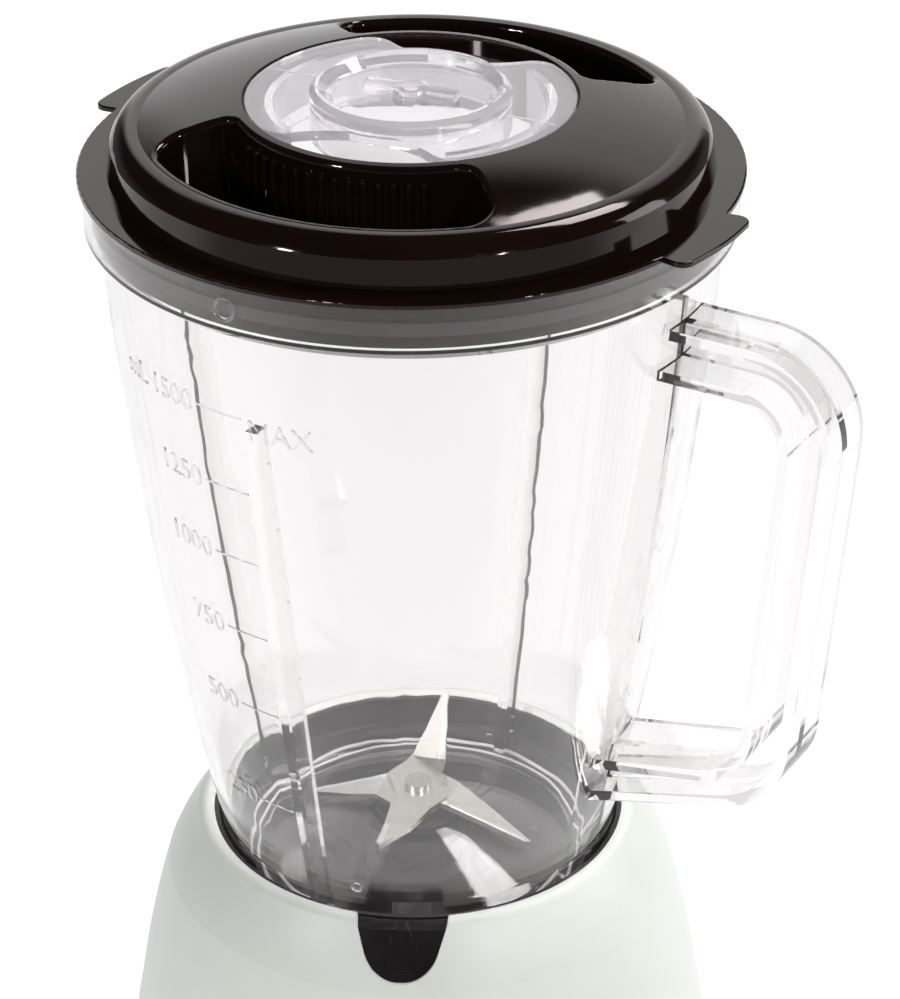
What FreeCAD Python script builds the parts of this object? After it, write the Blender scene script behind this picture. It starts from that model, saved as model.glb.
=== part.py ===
import FreeCAD, Part
import math
import os
import re

import Sketcher

# A countertop blender: a bell-shaped motor base, a clear jar with a moulded handle, a domed lid and
# a clear filler cap. +Z is up, the origin is on the jar's axis in the plane that the feet stand on,
# and -Y is the front, where the control knob and the lock tab are.

SIZES = {
    # Base housing: radii of the bell and their depths below the rim of the jar well
    "ring": 150, "rim_radius": 50.3, "rim_depth": 4, "housing_wall": 2.6,
    "lip_radius": 54.5, "lip_drop": 1, "lip_bend": 2.9,
    "collar_radius": 62, "collar_drop": 14.5, "collar_bend": 60,
    "shoulder_radius": 70, "shoulder_drop": 50, "shoulder_bend": 260,
    "skirt_radius": 78.5, "skirt_height": 4.5, "skirt_bend": 500,
    "post_radius": 5.5, "post_circle": 70, "post_top": 56, "post_angle": 30,
    # Well liner and its lock tab
    "well_radius": 49.1, "well_foot_radius": 47.6, "well_wall": 1.9, "well_depth": 27,
    "dam_radius": 19, "dam_wall": 2, "dam_height": 5, "well_bore": 12,
    "tab_half": 10.9, "tab_waist": 8.6, "tab_waist_drop": 6.5, "tab_bend": 8.8, "tab_drop": 12,
    "tab_wall": 2.2, "tab_sunk": 0.5, "tab_reach": 20, "tab_root": 1, "rim_sunk": 0.3,
    # Bottom cover, feet and their screws
    "cover_gap": 0.4, "cover_low": 5, "cover_wall": 3, "vent_inner": 14, "vent_outer": 34,
    "vent_width": 4, "vent_count": 16,
    "foot_outer": 64, "foot_inner": 53, "foot_height": 5, "foot_gap": 36, "foot_circle": 58.5,
    "foot_stem": 3.5, "foot_stem_height": 5,
    "screw_head": 3.6, "screw_head_height": 2.4, "screw_recess": 1.6, "screw_shank": 1.75, "screw_length": 16,
    "louvre_width": 2.4, "louvre_pitch": 6, "louvre_low": 40, "louvre_high": 62, "louvre_near": 60,
    # Knob, its bezel and the rotary switch
    "knob_height": 62, "knob_radius": 19, "knob_back": 80.4, "knob_skirt": 5, "knob_depth": 15,
    "knob_grip_half": 4, "bezel_radius": 26, "bezel_face": 80, "bezel_root": 66, "spindle_radius": 3,
    "spindle_tip": 92, "spindle_seat": 3, "switch_half": 13, "switch_back": 53, "switch_face": 69,
    "switch_bush": 5,
    # Motor
    "shaft_radius": 4, "shaft_neck": 3.5, "shaft_low": 10, "shaft_step": 115, "shaft_chamfer": 0.6,
    "shaft_top": 126.2, "yoke_radius": 33, "yoke_wall": 6,
    "bore_radius": 18.7, "stack_low": 60, "stack_high": 90, "pole_half": 55,
    "coil_inner": 19.6, "coil_outer": 26.6, "coil_end": 7, "coil_half": 84, "coil_gap": 1,
    "core_radius": 18.1, "slot_count": 12, "slot_width": 2.2, "slot_depth": 6,
    "winding_inner": 6.5, "winding_outer": 16, "winding_end": 7, "winding_round": 3, "commutator_radius": 11,
    "commutator_low": 40, "commutator_high": 51, "commutator_cut": 0.5, "bar_count": 24,
    "fan_radius": 36, "fan_low": 14, "fan_high": 26, "fan_disc": 2, "fan_hub": 9, "fan_blade": 1.8,
    "fan_count": 11,
    "bearing_radius": 11, "bearing_height": 7, "bearing_groove": 0.6, "bearing_race": 2,
    "fit": 0.03,
    "lower_bracket_low": 30, "upper_bracket_low": 103, "bracket_wall": 5, "bracket_radius": 36,
    "bracket_boss": 15, "bolt_ear": 5.5, "hanger_ear": 7.5, "window_inner": 19, "window_outer": 31,
    "window_half": 28, "bolt_circle": 37, "bolt_radius": 2, "bolt_head": 3.6,
    "bolt_head_height": 2.5, "hanger_circle": 40, "hanger_radius": 5, "mount_radius": 6,
    "mount_height": 6, "hanger_screw_length": 22,
    "holder_width": 8, "holder_inner": 13, "holder_outer": 34, "holder_foot": 3, "holder_end": 1.2,
    "brush_width": 5, "brush_outer": 24,
    "brush_spring_wire": 0.5, "brush_spring_radius": 1.8,
    "socket_neck": 6, "socket_radius": 13, "socket_low": 123.6, "socket_top": 133.6, "socket_floor": 3,
    "socket_well": 7.6, "socket_slot": 4.6, "socket_reach": 10.7, "lobe_count": 6,
    # Interlock pin under the jar's foot
    "pin_radius": 2, "pin_circle": 45.1, "pin_low": 101.4, "pin_collar": 3.6, "pin_collar_low": 112,
    "pin_collar_top": 114, "pin_bore": 2.3, "guide_radius": 5.4, "guide_bore": 3.9,
    "guide_shoulder": 114.3, "guide_low": 106, "retainer_low": 104.5, "spring_wire": 0.4,
    "spring_radius": 2.9, "spring_turns": 4, "micro_half": 8, "micro_depth": 3, "micro_low": 88,
    "micro_top": 98, "leg_wall": 3,
    # Cord inlet and terminal block
    "inlet_height": 24, "inlet_radius": 7, "inlet_hole": 3.6, "inlet_flange": 9, "inlet_reach": 80.4,
    "inlet_depth": 9, "inlet_lip": 1.8, "terminal_length": 30, "terminal_width": 12, "terminal_height": 14,
    "terminal_near": 48, "terminal_hole": 2, "terminal_pitch": 9,
    # Jar: the outer wall is one arc through the foot, middle and shoulder
    "jar_foot_drop": 26.7, "jar_foot_radius": 46.2, "jar_ring_radius": 48.9,
    "jar_flare": 3, "jar_shoulder": 157, "jar_shoulder_radius": 70.8, "jar_bend": 1100,
    "jar_wall": 2.5, "rib_lean": 0.14, "foot_lean": 1,
    "band_low": 159.5, "band_radius": 74, "band_high": 170.1, "band_wall": 1.7, "band_seat": 0.4,
    "foot_wall": 2.3, "floor_drop": 9.5, "floor_edge": 6, "floor_bend": 6.5, "cone_radius": 38,
    "cone_top_radius": 12, "cone_top_drop": 1.2, "hub_bore": 8.1,
    "rib_half": 1.4, "rib_top_reach": 2.4, "rib_foot_reach": 6, "short_rib_top": 133,
    "long_rib_top": 154, "rib_foot": -9, "rib_turn": 90,
    # Handle in its own upright plane, by distance from the jar's axis and height above the ring
    "handle_angle": -27, "handle_root": 47, "outer_flange_half": 8, "inner_flange_half": 10.5,
    "web_half": 1.3, "flange_wall": 2.5, "arm_top": 149.5, "grip_top_reach": 112.1,
    "grip_foot_reach": 101.6, "grip_foot": 35.5, "arm_foot": 20.2, "outer_bend": 22,
    "window_top": 138, "window_top_reach": 99.1, "window_foot_reach": 91.5, "window_foot": 43.2,
    "window_arm_foot": 33.5, "window_top_bend": 10, "window_foot_bend": 14,
    # Blade unit
    "blade_shaft": 3, "blade_shaft_low": 127, "housing_radius": 8, "housing_low": 136.5,
    "flange_radius": 10.5, "flange_height": 1.8, "nut_radius": 12.5, "nut_height": 5,
    "bush_radius": 5, "bush_length": 5, "seal_radius": 6.4, "seal_height": 1.4, "seal_gap": 0.2,
    "washer_radius": 7, "washer_height": 1.5, "washer_crown": 0.7, "blade_gauge": 1.3,
    "blade_neck": 2.2, "rivet_radius": 3.3, "rivet_height": 1.3,
    "upper_blade_angle": 80, "lower_blade_angle": -15.5, "upper_length": 31.4, "lower_length": 31.5,
    "edge_half": 4.9, "edge_root": 3.1, "tip_half": 2.8, "tip_trim": 1.6, "belly_at": 18.5,
    "belly": 3, "shoulder_at": 9.7, "shoulder_half": 5.5, "hub_at": 3.5, "hub_half": 8.5,
    "up_bend": 53, "up_bend_at": 13, "front_bend": 10, "front_bend_at": 18, "down_bend": 21.5,
    "down_bend_at": 9,
    "coupler_radius": 7.2, "coupler_tip": 10.3, "coupler_tooth": 3.8, "coupler_low": 126.9,
    "coupler_top": 134.9, "coupler_root": 1,
    # Lid
    "lid_low": 170.4, "flange_reach": 75.1, "flange_gauge": 1.2, "tab_reach_lid": 81,
    "tab_turn": -3.2, "tab_half_angle": 10.5, "tab_corner": 3, "dome_foot": 68.3, "dome_side": 67.3,
    "dome_side_height": 178, "crest_radius": 61, "crest_height": 181.6, "crest_bend": 6,
    "top_radius": 37.7, "top_height": 187, "top_bend": 120, "lid_wall": 2.4, "skirt_radius_lid": 71.4,
    "skirt_low": 160, "ledge_drop": 2.8, "ledge_radius": 33.6, "hole_low": 174,
    "pocket_inner": 40.3, "pocket_outer": 59, "pocket_half": 47, "pocket_angle": -114,
    "pocket_floor": 169, "pocket_wall": 2, "pocket_corner": 7.5, "pocket_corner_inner": 3,
    "lip_round": 1.3, "rim_round": 0.4, "lip_near": 0.01,
    "seal_reach": 72.1, "seal_low": 163, "seal_high": 166, "seal_depth": 1,
    # Filler cap
    "cap_angle": -18, "wing_radius": 37, "wing_half": 57.5, "wing_gauge": 2.3, "wing_gap": 0.25,
    "wing_corner": 6, "waist_half": 12, "waist_bend": 30, "waist_gap": 1.2, "cup_radius": 22.6,
    "cup_inner": 17.6, "cup_rise": 2.9, "cup_floor": 187.4, "cup_low": 178, "cup_lean": 1.2,
    "cup_wall": 2, "cap_skirt": 32.6, "cap_skirt_wall": 1.8, "cap_skirt_low": 171.6,
    "lug_half": 7, "lug_reach": 33.3, "lug_height": 2, "cap_skirt_half": 54,
    "bar_half": 11, "bar_width": 3.5, "bar_rise": 1.8, "boss_radius": 4, "dimple_radius": 1.6,
}

doc = FreeCAD.newDocument("CountertopBlender")
sheet = doc.addObject("Spreadsheet::Sheet", "Dims")
for row, (alias, value) in enumerate(SIZES.items(), start=1):
    sheet.set(f"A{row}", alias)
    sheet.set(f"B{row}", str(value))
    sheet.setAlias(f"B{row}", alias)
doc.recompute()

POST_ANGLES = ["post_angle", "180 - post_angle", "180 + post_angle", "-post_angle"]
FOOT_ANGLES = [45, 135, 225, 315]
HANGER_ANGLES = [45, 135, 225, 315]
BOLT_ANGLES = [0, 180]

NODES = []


# ---- Helpers: expressions, sketches and solids ----

def bound(expression):
    """The expression with each of the sheet's names written in full."""
    return re.sub(r"[a-z_]+", lambda word: f"Dims.{word[0]}" if word[0] in SIZES else word[0],
                  str(expression))


def size(expression):
    """The value of an expression of the sheet's names."""
    return float(sheet.evalExpression(bound(expression)))


def bind(item, **properties):
    """Bind properties of an object to expressions of the sheet's names."""
    for name, expression in properties.items():
        item.setExpression(name, bound(expression))
    return item


def place(item, x=0, y=0, z=0, turn=0):
    """Put an object at x, y, z, turned about the upright axis, all bound to the sheet."""
    item.Placement = FreeCAD.Placement(FreeCAD.Vector(size(x), size(y), size(z)),
                                       FreeCAD.Rotation(FreeCAD.Vector(0, 0, 1), size(turn)))
    for path, expression in (("Base.x", x), ("Base.y", y), ("Base.z", z), ("Rotation.Angle", turn)):
        item.setExpression(f".Placement.{path}", bound(expression))
    return item


def polar(radius, angle):
    """The x and y expressions of a point on a circle about the jar's axis."""
    return f"({radius}) * cos({angle})", f"({radius}) * sin({angle})"


def arc_between(start, end, radius):
    """An arc that bulges to the right of its travel, or to the left for a negative radius."""
    chord = end - start
    rise = abs(radius) - math.sqrt(radius * radius - chord.Length ** 2 / 4)
    right = FreeCAD.Vector(chord.y, -chord.x, 0) / chord.Length
    return Part.Arc(start, (start + end) / 2 + right * math.copysign(rise, radius), end)


def draw_outline(sketch, points):
    """Draw a closed outline whose points are bound to the sheet; a third item starts an arc."""
    spots = [FreeCAD.Vector(size(point[0]), size(point[1]), 0) for point in points]
    edges = []
    for index, point in enumerate(points):
        start, end = spots[index], spots[(index + 1) % len(points)]
        bent = len(point) == 3
        curve = arc_between(start, end, size(point[2])) if bent else Part.LineSegment(start, end)
        edge = sketch.addGeometry(curve, False)
        first = 1 if sketch.getPoint(edge, 1).isEqual(start, 1e-6) else 2
        edges.append((edge, first, 3 - first))
        if bent:
            sign = "" if size(point[2]) > 0 else "-"
            constrain(sketch, "Radius", (edge,), f"{sign}({point[2]})")
    for (edge, _, last), (following, first, _) in zip(edges, edges[1:] + edges[:1]):
        sketch.addConstraint(Sketcher.Constraint("Coincident", edge, last, following, first))
    for (edge, first, _), point in zip(edges, points):
        for kind, expression in (("DistanceX", point[0]), ("DistanceY", point[1])):
            if size(expression) < 0:
                constrain(sketch, kind, (edge, first, -1, 1), f"-({expression})")
            else:
                constrain(sketch, kind, (-1, 1, edge, first), expression)


def constrain(sketch, kind, where, expression):
    """Add a dimension to a sketch and bind it to the sheet."""
    number = sketch.addConstraint(Sketcher.Constraint(kind, *where, size(expression)))
    sketch.setExpression(f"Constraints[{number}]", bound(expression))


def draw_circle(sketch, radius, x=0, y=0):
    """Draw a circle whose centre and radius are bound to the sheet."""
    centre = FreeCAD.Vector(size(x), size(y), 0)
    edge = sketch.addGeometry(Part.Circle(centre, FreeCAD.Vector(0, 0, 1), size(radius)), False)
    constrain(sketch, "Radius", (edge,), radius)
    for kind, expression in (("DistanceX", x), ("DistanceY", y)):
        if size(expression) < 0:
            constrain(sketch, kind, (edge, 3, -1, 1), f"-({expression})")
        else:
            constrain(sketch, kind, (-1, 1, edge, 3), expression)


def new_sketch(body, plane, lift=0):
    """A sketch on one of its body's origin planes, lifted along the plane's normal."""
    sketch = body.newObject("Sketcher::SketchObject", f"{body.Name}_sketch")
    support = next(item for item in body.Origin.OriginFeatures if item.Role == plane)
    sketch.AttachmentSupport = (support, [""])
    sketch.MapMode = "FlatFace"
    sketch.setExpression(".AttachmentOffset.Base.z", bound(lift))
    return sketch


def lathe(label, points):
    """A body of revolution about the upright axis from an outline of radii and heights."""
    body = doc.addObject("PartDesign::Body", label)
    sketch = new_sketch(body, "XZ_Plane")
    draw_outline(sketch, points)
    turned = body.newObject("PartDesign::Revolution", f"{label}_turned")
    turned.Profile = sketch
    turned.ReferenceAxis = (sketch, ["V_Axis"])
    turned.Angle = 360
    doc.recompute()
    return body


def plate(label, low, height, outlines=(), circles=(), plane="XY_Plane", middle=False):
    """A body padded from closed outlines and circles; height is its thickness."""
    body = doc.addObject("PartDesign::Body", label)
    sketch = new_sketch(body, plane, low)
    for points in outlines:
        draw_outline(sketch, points)
    for circle in circles:
        draw_circle(sketch, *circle)
    pad = body.newObject("PartDesign::Pad", f"{label}_pad")
    pad.Profile = sketch
    pad.Midplane = middle
    bind(pad, Length=height)
    doc.recompute()
    return body


def pocket(body, low, height, outlines=(), circles=()):
    """Cut outlines out of a body, from a level upward."""
    before = body.Shape.Volume
    sketch = new_sketch(body, "XY_Plane", low)
    for points in outlines:
        draw_outline(sketch, points)
    for circle in circles:
        draw_circle(sketch, *circle)
    cut = body.newObject("PartDesign::Pocket", f"{body.Name}_pocket")
    cut.Profile = sketch
    cut.Reversed = True
    bind(cut, Length=height)
    doc.recompute()
    if body.Shape.Volume >= before:
        raise RuntimeError(f"{body.Label}: a pocket cut nothing")
    return cut


def raise_pad(body, low, height, outlines):
    """Pad outlines onto a body, from a level upward."""
    sketch = new_sketch(body, "XY_Plane", low)
    for points in outlines:
        draw_outline(sketch, points)
    pad = body.newObject("PartDesign::Pad", f"{body.Name}_raised")
    pad.Profile = sketch
    bind(pad, Length=height)
    doc.recompute()
    return pad


def round_corners(body, radius, *corners, axis="Z"):
    """Fillet the edges along an axis that stand at the given corners of a body's outline."""
    base = body.Tip
    spots = [(size(first), size(second)) for first, second in corners]
    names = []
    for number, edge in enumerate(base.Shape.Edges, start=1):
        ends = [vertex.Point for vertex in edge.Vertexes]
        flat = [(end.x, end.z if axis == "Y" else end.y) for end in ends]
        if len(flat) == 2 and math.dist(*flat) < 1e-6:
            if any(math.dist(flat[0], spot) < 1e-3 for spot in spots):
                names.append(f"Edge{number}")
    if len(names) != len(spots):
        raise RuntimeError(f"{body.Label}: {len(names)} corners found, {len(spots)} wanted")
    fillet = body.newObject("PartDesign::Fillet", f"{body.Name}_fillet")
    fillet.Base = (base, names)
    bind(fillet, Radius=radius)
    body.Tip = fillet
    doc.recompute()
    return body


def soften(label, item, radius, chosen):
    """Round the edges of an item that chosen() is true of."""
    doc.recompute()
    width = size(radius)
    edges = [(number, width, width) for number, edge in enumerate(item.Shape.Edges, start=1)
             if chosen(edge)]
    rounded = doc.addObject("Part::Fillet", label)
    rounded.Base = item
    rounded.Edges = edges
    doc.recompute()
    return rounded


def middle_of(edge):
    """The point halfway along an edge."""
    return edge.valueAt((edge.FirstParameter + edge.LastParameter) / 2)


def repeat_round(body, feature, count):
    """Repeat a feature of a body evenly about the upright axis."""
    pattern = body.newObject("PartDesign::PolarPattern", f"{feature.Name}_pattern")
    pattern.Originals = [feature]
    pattern.Axis = (feature.Profile[0], ["N_Axis"])
    pattern.Angle = 360
    bind(pattern, Occurrences=count)
    body.Tip = pattern
    doc.recompute()
    return body


def box_outline(x_low, x_high, y_low, y_high):
    """The four corners of a rectangle, counterclockwise."""
    return [(x_low, y_low), (x_high, y_low), (x_high, y_high), (x_low, y_high)]


def sector_outline(inner, outer, middle, half):
    """A ring sector between two radii, reaching half its angle to either side of its middle."""
    low, high = f"({middle}) - ({half})", f"({middle}) + ({half})"
    return [polar(inner, low), (*polar(outer, low), outer), (*polar(outer, high),),
            (*polar(inner, high), f"-({inner})")]


def cylinder(label, radius, low, height, x=0, y=0):
    """An upright cylinder bound to the sheet."""
    item = bind(doc.addObject("Part::Cylinder", label), Radius=radius, Height=height)
    return place(item, x, y, low)


def front_cylinder(label, radius, near, far, height):
    """A level cylinder along Y between two distances in front of the axis, at a height."""
    item = bind(doc.addObject("Part::Cylinder", label), Radius=radius, Height=f"({far}) - ({near})")
    item.Placement = FreeCAD.Placement(FreeCAD.Vector(0, -size(near), size(height)),
                                       FreeCAD.Rotation(FreeCAD.Vector(1, 0, 0), 90))
    bind(item, **{".Placement.Base.y": f"-({near})", ".Placement.Base.z": height})
    return item


def block(label, x_low, x_high, y_low, y_high, low, high):
    """A box between two corners, bound to the sheet."""
    item = bind(doc.addObject("Part::Box", label), Length=f"({x_high}) - ({x_low})",
                Width=f"({y_high}) - ({y_low})", Height=f"({high}) - ({low})")
    return place(item, x_low, y_low, low)


def fuse(label, *pieces):
    """The union of several objects."""
    item = doc.addObject("Part::MultiFuse", label)
    item.Shapes = list(pieces)
    item.Refine = True
    doc.recompute()
    return item


def cut(label, base, *tools):
    """An object less one or more tools."""
    item = doc.addObject("Part::Cut", label)
    item.Base = base
    item.Tool = tools[0] if len(tools) == 1 else fuse(f"{label}_tools", *tools)
    item.Refine = True
    doc.recompute()
    return item


def common(label, first, second):
    """What two objects share."""
    item = doc.addObject("Part::MultiCommon", label)
    item.Shapes = [first, second]
    doc.recompute()
    return item


def group(label, pieces):
    """Separate solids in one node."""
    item = doc.addObject("Part::Compound", label)
    item.Links = list(pieces)
    doc.recompute()
    return item


def shaped(label, shape):
    """An object that holds a shape built with Part's own functions."""
    item = doc.addObject("Part::Feature", label)
    item.Shape = shape
    return item


def node(label, item):
    """Name an object as one of the blender's physical pieces."""
    item.Label = label
    NODES.append(item)
    return item


def coil(radius, wire, turns, low, high):
    """An upright open-wound spring about its own axis."""
    height = high - low - 2 * wire
    helix = Part.makeHelix(height / turns, height, radius)
    start = Part.Wire([Part.makeCircle(wire, FreeCAD.Vector(radius, 0, 0), FreeCAD.Vector(0, 1, 0))])
    spring = Part.Wire(helix.Edges).makePipeShell([start], True, True)
    spring.translate(FreeCAD.Vector(0, 0, low + wire))
    return spring


# ---- Motor base: housing, liner, cover ----

def bell_outline(inset, depth):
    """The bell's outer line set inward, from the lip down to a depth below the ring."""
    return [(f"lip_radius - {inset}", f"ring - lip_drop - {depth}"),
            (f"collar_radius - {inset}", f"ring - collar_drop - {depth} / 2"),
            (f"shoulder_radius - {inset}", "ring - shoulder_drop"),
            (f"skirt_radius - {inset}", "skirt_height")]


def tab_prism(label):
    """The outline of the lock tab, carried out through the front of the bell."""
    waist, foot = "ring - tab_waist_drop", "ring - tab_drop"
    points = [("-tab_half", "ring + tab_reach"), ("-tab_half", "ring"),
              ("-tab_waist", waist, "tab_bend"), (0, foot, "tab_bend"), ("tab_waist", waist),
              ("tab_half", "ring"), ("tab_half", "ring + tab_reach")]
    return plate(label, "tab_reach", "collar_radius", outlines=[points], plane="XZ_Plane")


def base_housing():
    """The white bell: a thin shell with a rolled lip, four screw posts and its openings."""
    outer, inner = bell_outline(0, 0), bell_outline("housing_wall", "housing_wall")
    shell = lathe("bell", [
        (*outer[3], "skirt_bend"), (*outer[2], "shoulder_bend"), (*outer[1], "collar_bend"),
        (*outer[0], "lip_bend"), ("rim_radius", "ring"), ("rim_radius", "ring - rim_depth"),
        (*inner[0], "-collar_bend"), (*inner[1], "-shoulder_bend"), (*inner[2], "-skirt_bend"),
        inner[3]])
    cavity = lathe("bell_cavity", [(0, inner[3][1]), (*inner[3], "skirt_bend"), inner[2],
                                   (0, inner[2][1])])
    bezel = front_cylinder("bezel", "bezel_radius", "bezel_root", "bezel_face", "knob_height")
    posts = []
    for number, angle in enumerate(POST_ANGLES):
        x, y = polar("post_circle", angle)
        posts.append(cylinder(f"post_{number}", "post_radius", "cover_low + cover_wall",
                              "post_top - cover_low - cover_wall", x, y))
    solid = fuse("bell_solid", shell, cut("bezel_rim", bezel, cavity), *posts)
    pilots = []
    for number, angle in enumerate(POST_ANGLES):
        x, y = polar("post_circle", angle)
        pilots.append(cylinder(f"pilot_{number}", "screw_shank", 0, "cover_low + screw_length", x, y))
    inlet = front_cylinder("inlet_opening", "inlet_radius", "-inlet_reach", "-bezel_root",
                           "inlet_height")
    bush = front_cylinder("bush_opening", "switch_bush", "bezel_root", "bezel_face", "knob_height")
    louvres = []
    for number in range(-3, 4):
        middle = f"{number} * louvre_pitch"
        louvres.append(block(f"louvre_{number + 3}", f"{middle} - louvre_width / 2",
                             f"{middle} + louvre_width / 2", "louvre_near", "inlet_reach",
                             "louvre_low", "louvre_high"))
    return cut("base_housing_shape", solid, tab_prism("tab_notch"), inlet, bush, *pilots, *louvres)


def well_liner():
    """The black cup that the jar stands in, with its lock tab, pin guide and motor hangers."""
    floor, under = "ring - well_depth", "ring - well_depth - well_wall"
    cup = lathe("liner_cup", [
        ("rim_radius", "ring - rim_sunk"), ("well_radius", "ring - rim_sunk"),
        ("well_foot_radius", floor), ("dam_radius", floor),
        ("dam_radius", f"{floor} + dam_height"), ("dam_radius - dam_wall", f"{floor} + dam_height"),
        ("dam_radius - dam_wall", floor), ("well_bore", floor), ("well_bore", under),
        ("well_foot_radius + well_wall", under)])
    band = lathe("tab_band", [
        ("rim_radius - tab_root", "ring - tab_sunk"),
        ("lip_radius - tab_sunk", "ring - lip_drop - tab_sunk", "-collar_bend"),
        ("collar_radius - tab_sunk", "ring - collar_drop - tab_sunk"),
        ("collar_radius - tab_sunk - tab_wall", "ring - collar_drop - tab_sunk", "collar_bend"),
        ("lip_radius - tab_sunk - tab_wall", "ring - lip_drop - tab_sunk - tab_wall"),
        ("rim_radius - tab_root", "ring - tab_sunk - tab_wall")])
    hangers, screws = [], []
    for number, angle in enumerate(HANGER_ANGLES):
        x, y = polar("hanger_circle", angle)
        low = "upper_bracket_low + bracket_wall + mount_height"
        hangers.append(cylinder(f"hanger_{number}", "hanger_radius", low, f"{under} - ({low})", x, y))
        screws.append(cylinder(f"hanger_pilot_{number}", "screw_shank", "upper_bracket_low",
                               "hanger_screw_length", x, y))
    guide = cylinder("pin_guide", "guide_radius", "guide_low", f"{under} - guide_low", 0, "pin_circle")
    leg = block("switch_leg", "micro_half", "micro_half + leg_wall", "pin_circle - micro_depth",
                "pin_circle + micro_depth", "micro_low", under)
    solid = fuse("liner_solid", cup, common("tab_plate", band, tab_prism("tab_outline")), guide, leg,
                 *hangers)
    bore = cylinder("pin_opening", "pin_bore", "guide_low", "ring - guide_low", 0, "pin_circle")
    counterbore = cylinder("collar_opening", "guide_bore", "guide_low",
                           "guide_shoulder - guide_low", 0, "pin_circle")
    return cut("well_liner_shape", solid, bore, counterbore, *screws)


def bottom_cover():
    """The flat cover under the motor, with a ring of radial air slots and its fixing holes."""
    feet = [("foot_stem", *polar("foot_circle", angle)) for angle in FOOT_ANGLES]
    screws = [("screw_shank", *polar("post_circle", angle)) for angle in POST_ANGLES]
    body = plate("cover", "cover_low", "cover_wall",
                 circles=[("skirt_radius - housing_wall - cover_gap",), *feet, *screws])
    slot = pocket(body, "cover_low", "cover_wall",
                  [box_outline("vent_inner", "vent_outer", "-vent_width / 2", "vent_width / 2")])
    return repeat_round(body, slot, "vent_count")


def foot_ring():
    """The rubber ring that the base stands on, open at the back for air, with four stems."""
    ring = plate("foot_band", 0, "foot_height", circles=[("foot_outer",), ("foot_inner",)])
    pocket(ring, 0, "foot_height", [
        box_outline("-foot_gap / 2", "foot_gap / 2", "foot_inner / 2", "foot_outer + foot_height")])
    stems = []
    for number, angle in enumerate(FOOT_ANGLES):
        x, y = polar("foot_circle", angle)
        stems.append(cylinder(f"foot_stem_{number}", "foot_stem", 0,
                              "foot_height + foot_stem_height", x, y))
    return fuse("foot_ring_shape", ring, *stems)


def screw(label, x, y, head_low, length):
    """An upright screw with its head at the bottom and a cross recess in it."""
    head = cylinder(f"{label}_head", "screw_head", head_low, "screw_head_height", x, y)
    shank = cylinder(f"{label}_shank", "screw_shank", head_low, length, x, y)
    socket = cylinder(f"{label}_recess", "screw_recess", head_low, "screw_head_height / 2", x, y)
    return cut(label, fuse(f"{label}_solid", head, shank), socket)


def cover_screws():
    """The four screws that hold the bottom cover to the housing's posts."""
    return group("cover_screws_shape", [
        screw(f"cover_screw_{number}", *polar("post_circle", angle),
              "cover_low - screw_head_height", "screw_length")
        for number, angle in enumerate(POST_ANGLES)])


def control_knob():
    """A round dial with a raised bar grip across it."""
    skirt = front_cylinder("knob_skirt_disc", "knob_radius", "knob_back", "knob_back + knob_skirt",
                           "knob_height")
    full = front_cylinder("knob_full", "knob_radius", "knob_back", "knob_back + knob_depth",
                          "knob_height")
    bar = block("knob_bar", "-knob_grip_half", "knob_grip_half", "-(knob_back + knob_depth)",
                "-knob_back", "knob_height - knob_radius", "knob_height + knob_radius")
    bore = front_cylinder("knob_bore", "spindle_radius", "knob_back", "spindle_tip", "knob_height")
    return cut("knob_shape", fuse("knob_solid", skirt, common("knob_grip", full, bar)), bore)


def speed_switch():
    """The rotary switch behind the bezel, with the threaded bush that its spindle turns in."""
    case = block("switch_case", "-switch_half", "switch_half", "-switch_face", "-switch_back",
                 "knob_height - switch_half", "knob_height + switch_half")
    bush = front_cylinder("switch_bush_tube", "switch_bush", "switch_face", "bezel_face",
                          "knob_height")
    bore = front_cylinder("switch_bore", "spindle_radius + fit", "switch_face - spindle_seat",
                          "bezel_face", "knob_height")
    return cut("speed_switch_shape", fuse("switch_solid", case, bush), bore)


def knob_spindle():
    """The steel spindle that the knob turns in the switch."""
    return front_cylinder("spindle", "spindle_radius", "switch_face - spindle_seat + fit",
                          "spindle_tip", "knob_height")


def cord_inlet():
    """The rubber grommet in the back wall, with a flange to either side of it."""
    tube = front_cylinder("inlet_tube", "inlet_radius", "-inlet_reach", "inlet_depth - inlet_reach",
                          "inlet_height")
    outside = front_cylinder("inlet_outside", "inlet_flange", "-inlet_reach",
                             "inlet_lip - inlet_reach", "inlet_height")
    hole = front_cylinder("inlet_hole_tool", "inlet_hole", "-inlet_reach",
                          "inlet_depth - inlet_reach", "inlet_height")
    return cut("cord_inlet_shape", fuse("inlet_solid", tube, outside), hole)


def terminal_block():
    """The block on the bottom cover where the supply leads end, with its row of wire holes."""
    low = "cover_low + cover_wall"
    case = block("terminal_case", "-terminal_length / 2", "terminal_length / 2", "terminal_near",
                 "terminal_near + terminal_width", low, f"{low} + terminal_height")
    holes = [cylinder(f"terminal_hole_{number}", "terminal_hole", f"{low} + terminal_height / 2",
                      "terminal_height", f"{number} * terminal_pitch",
                      "terminal_near + terminal_width / 2") for number in (-1, 0, 1)]
    return cut("terminal_block_shape", case, *holes)


# ---- Motor ----

def stator_core():
    """The laminated yoke with two poles that face the armature in front and behind."""
    yoke = plate("yoke", "stack_low", "stack_high - stack_low",
                 circles=[("yoke_radius",), ("yoke_radius - yoke_wall",)])
    poles = [plate(f"pole_{number}", "stack_low", "stack_high - stack_low",
                   outlines=[sector_outline("bore_radius", "yoke_radius - yoke_wall / 2",
                                            middle, "pole_half")])
             for number, middle in enumerate((90, -90))]
    return fuse("stator_core_shape", yoke, *poles)


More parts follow.
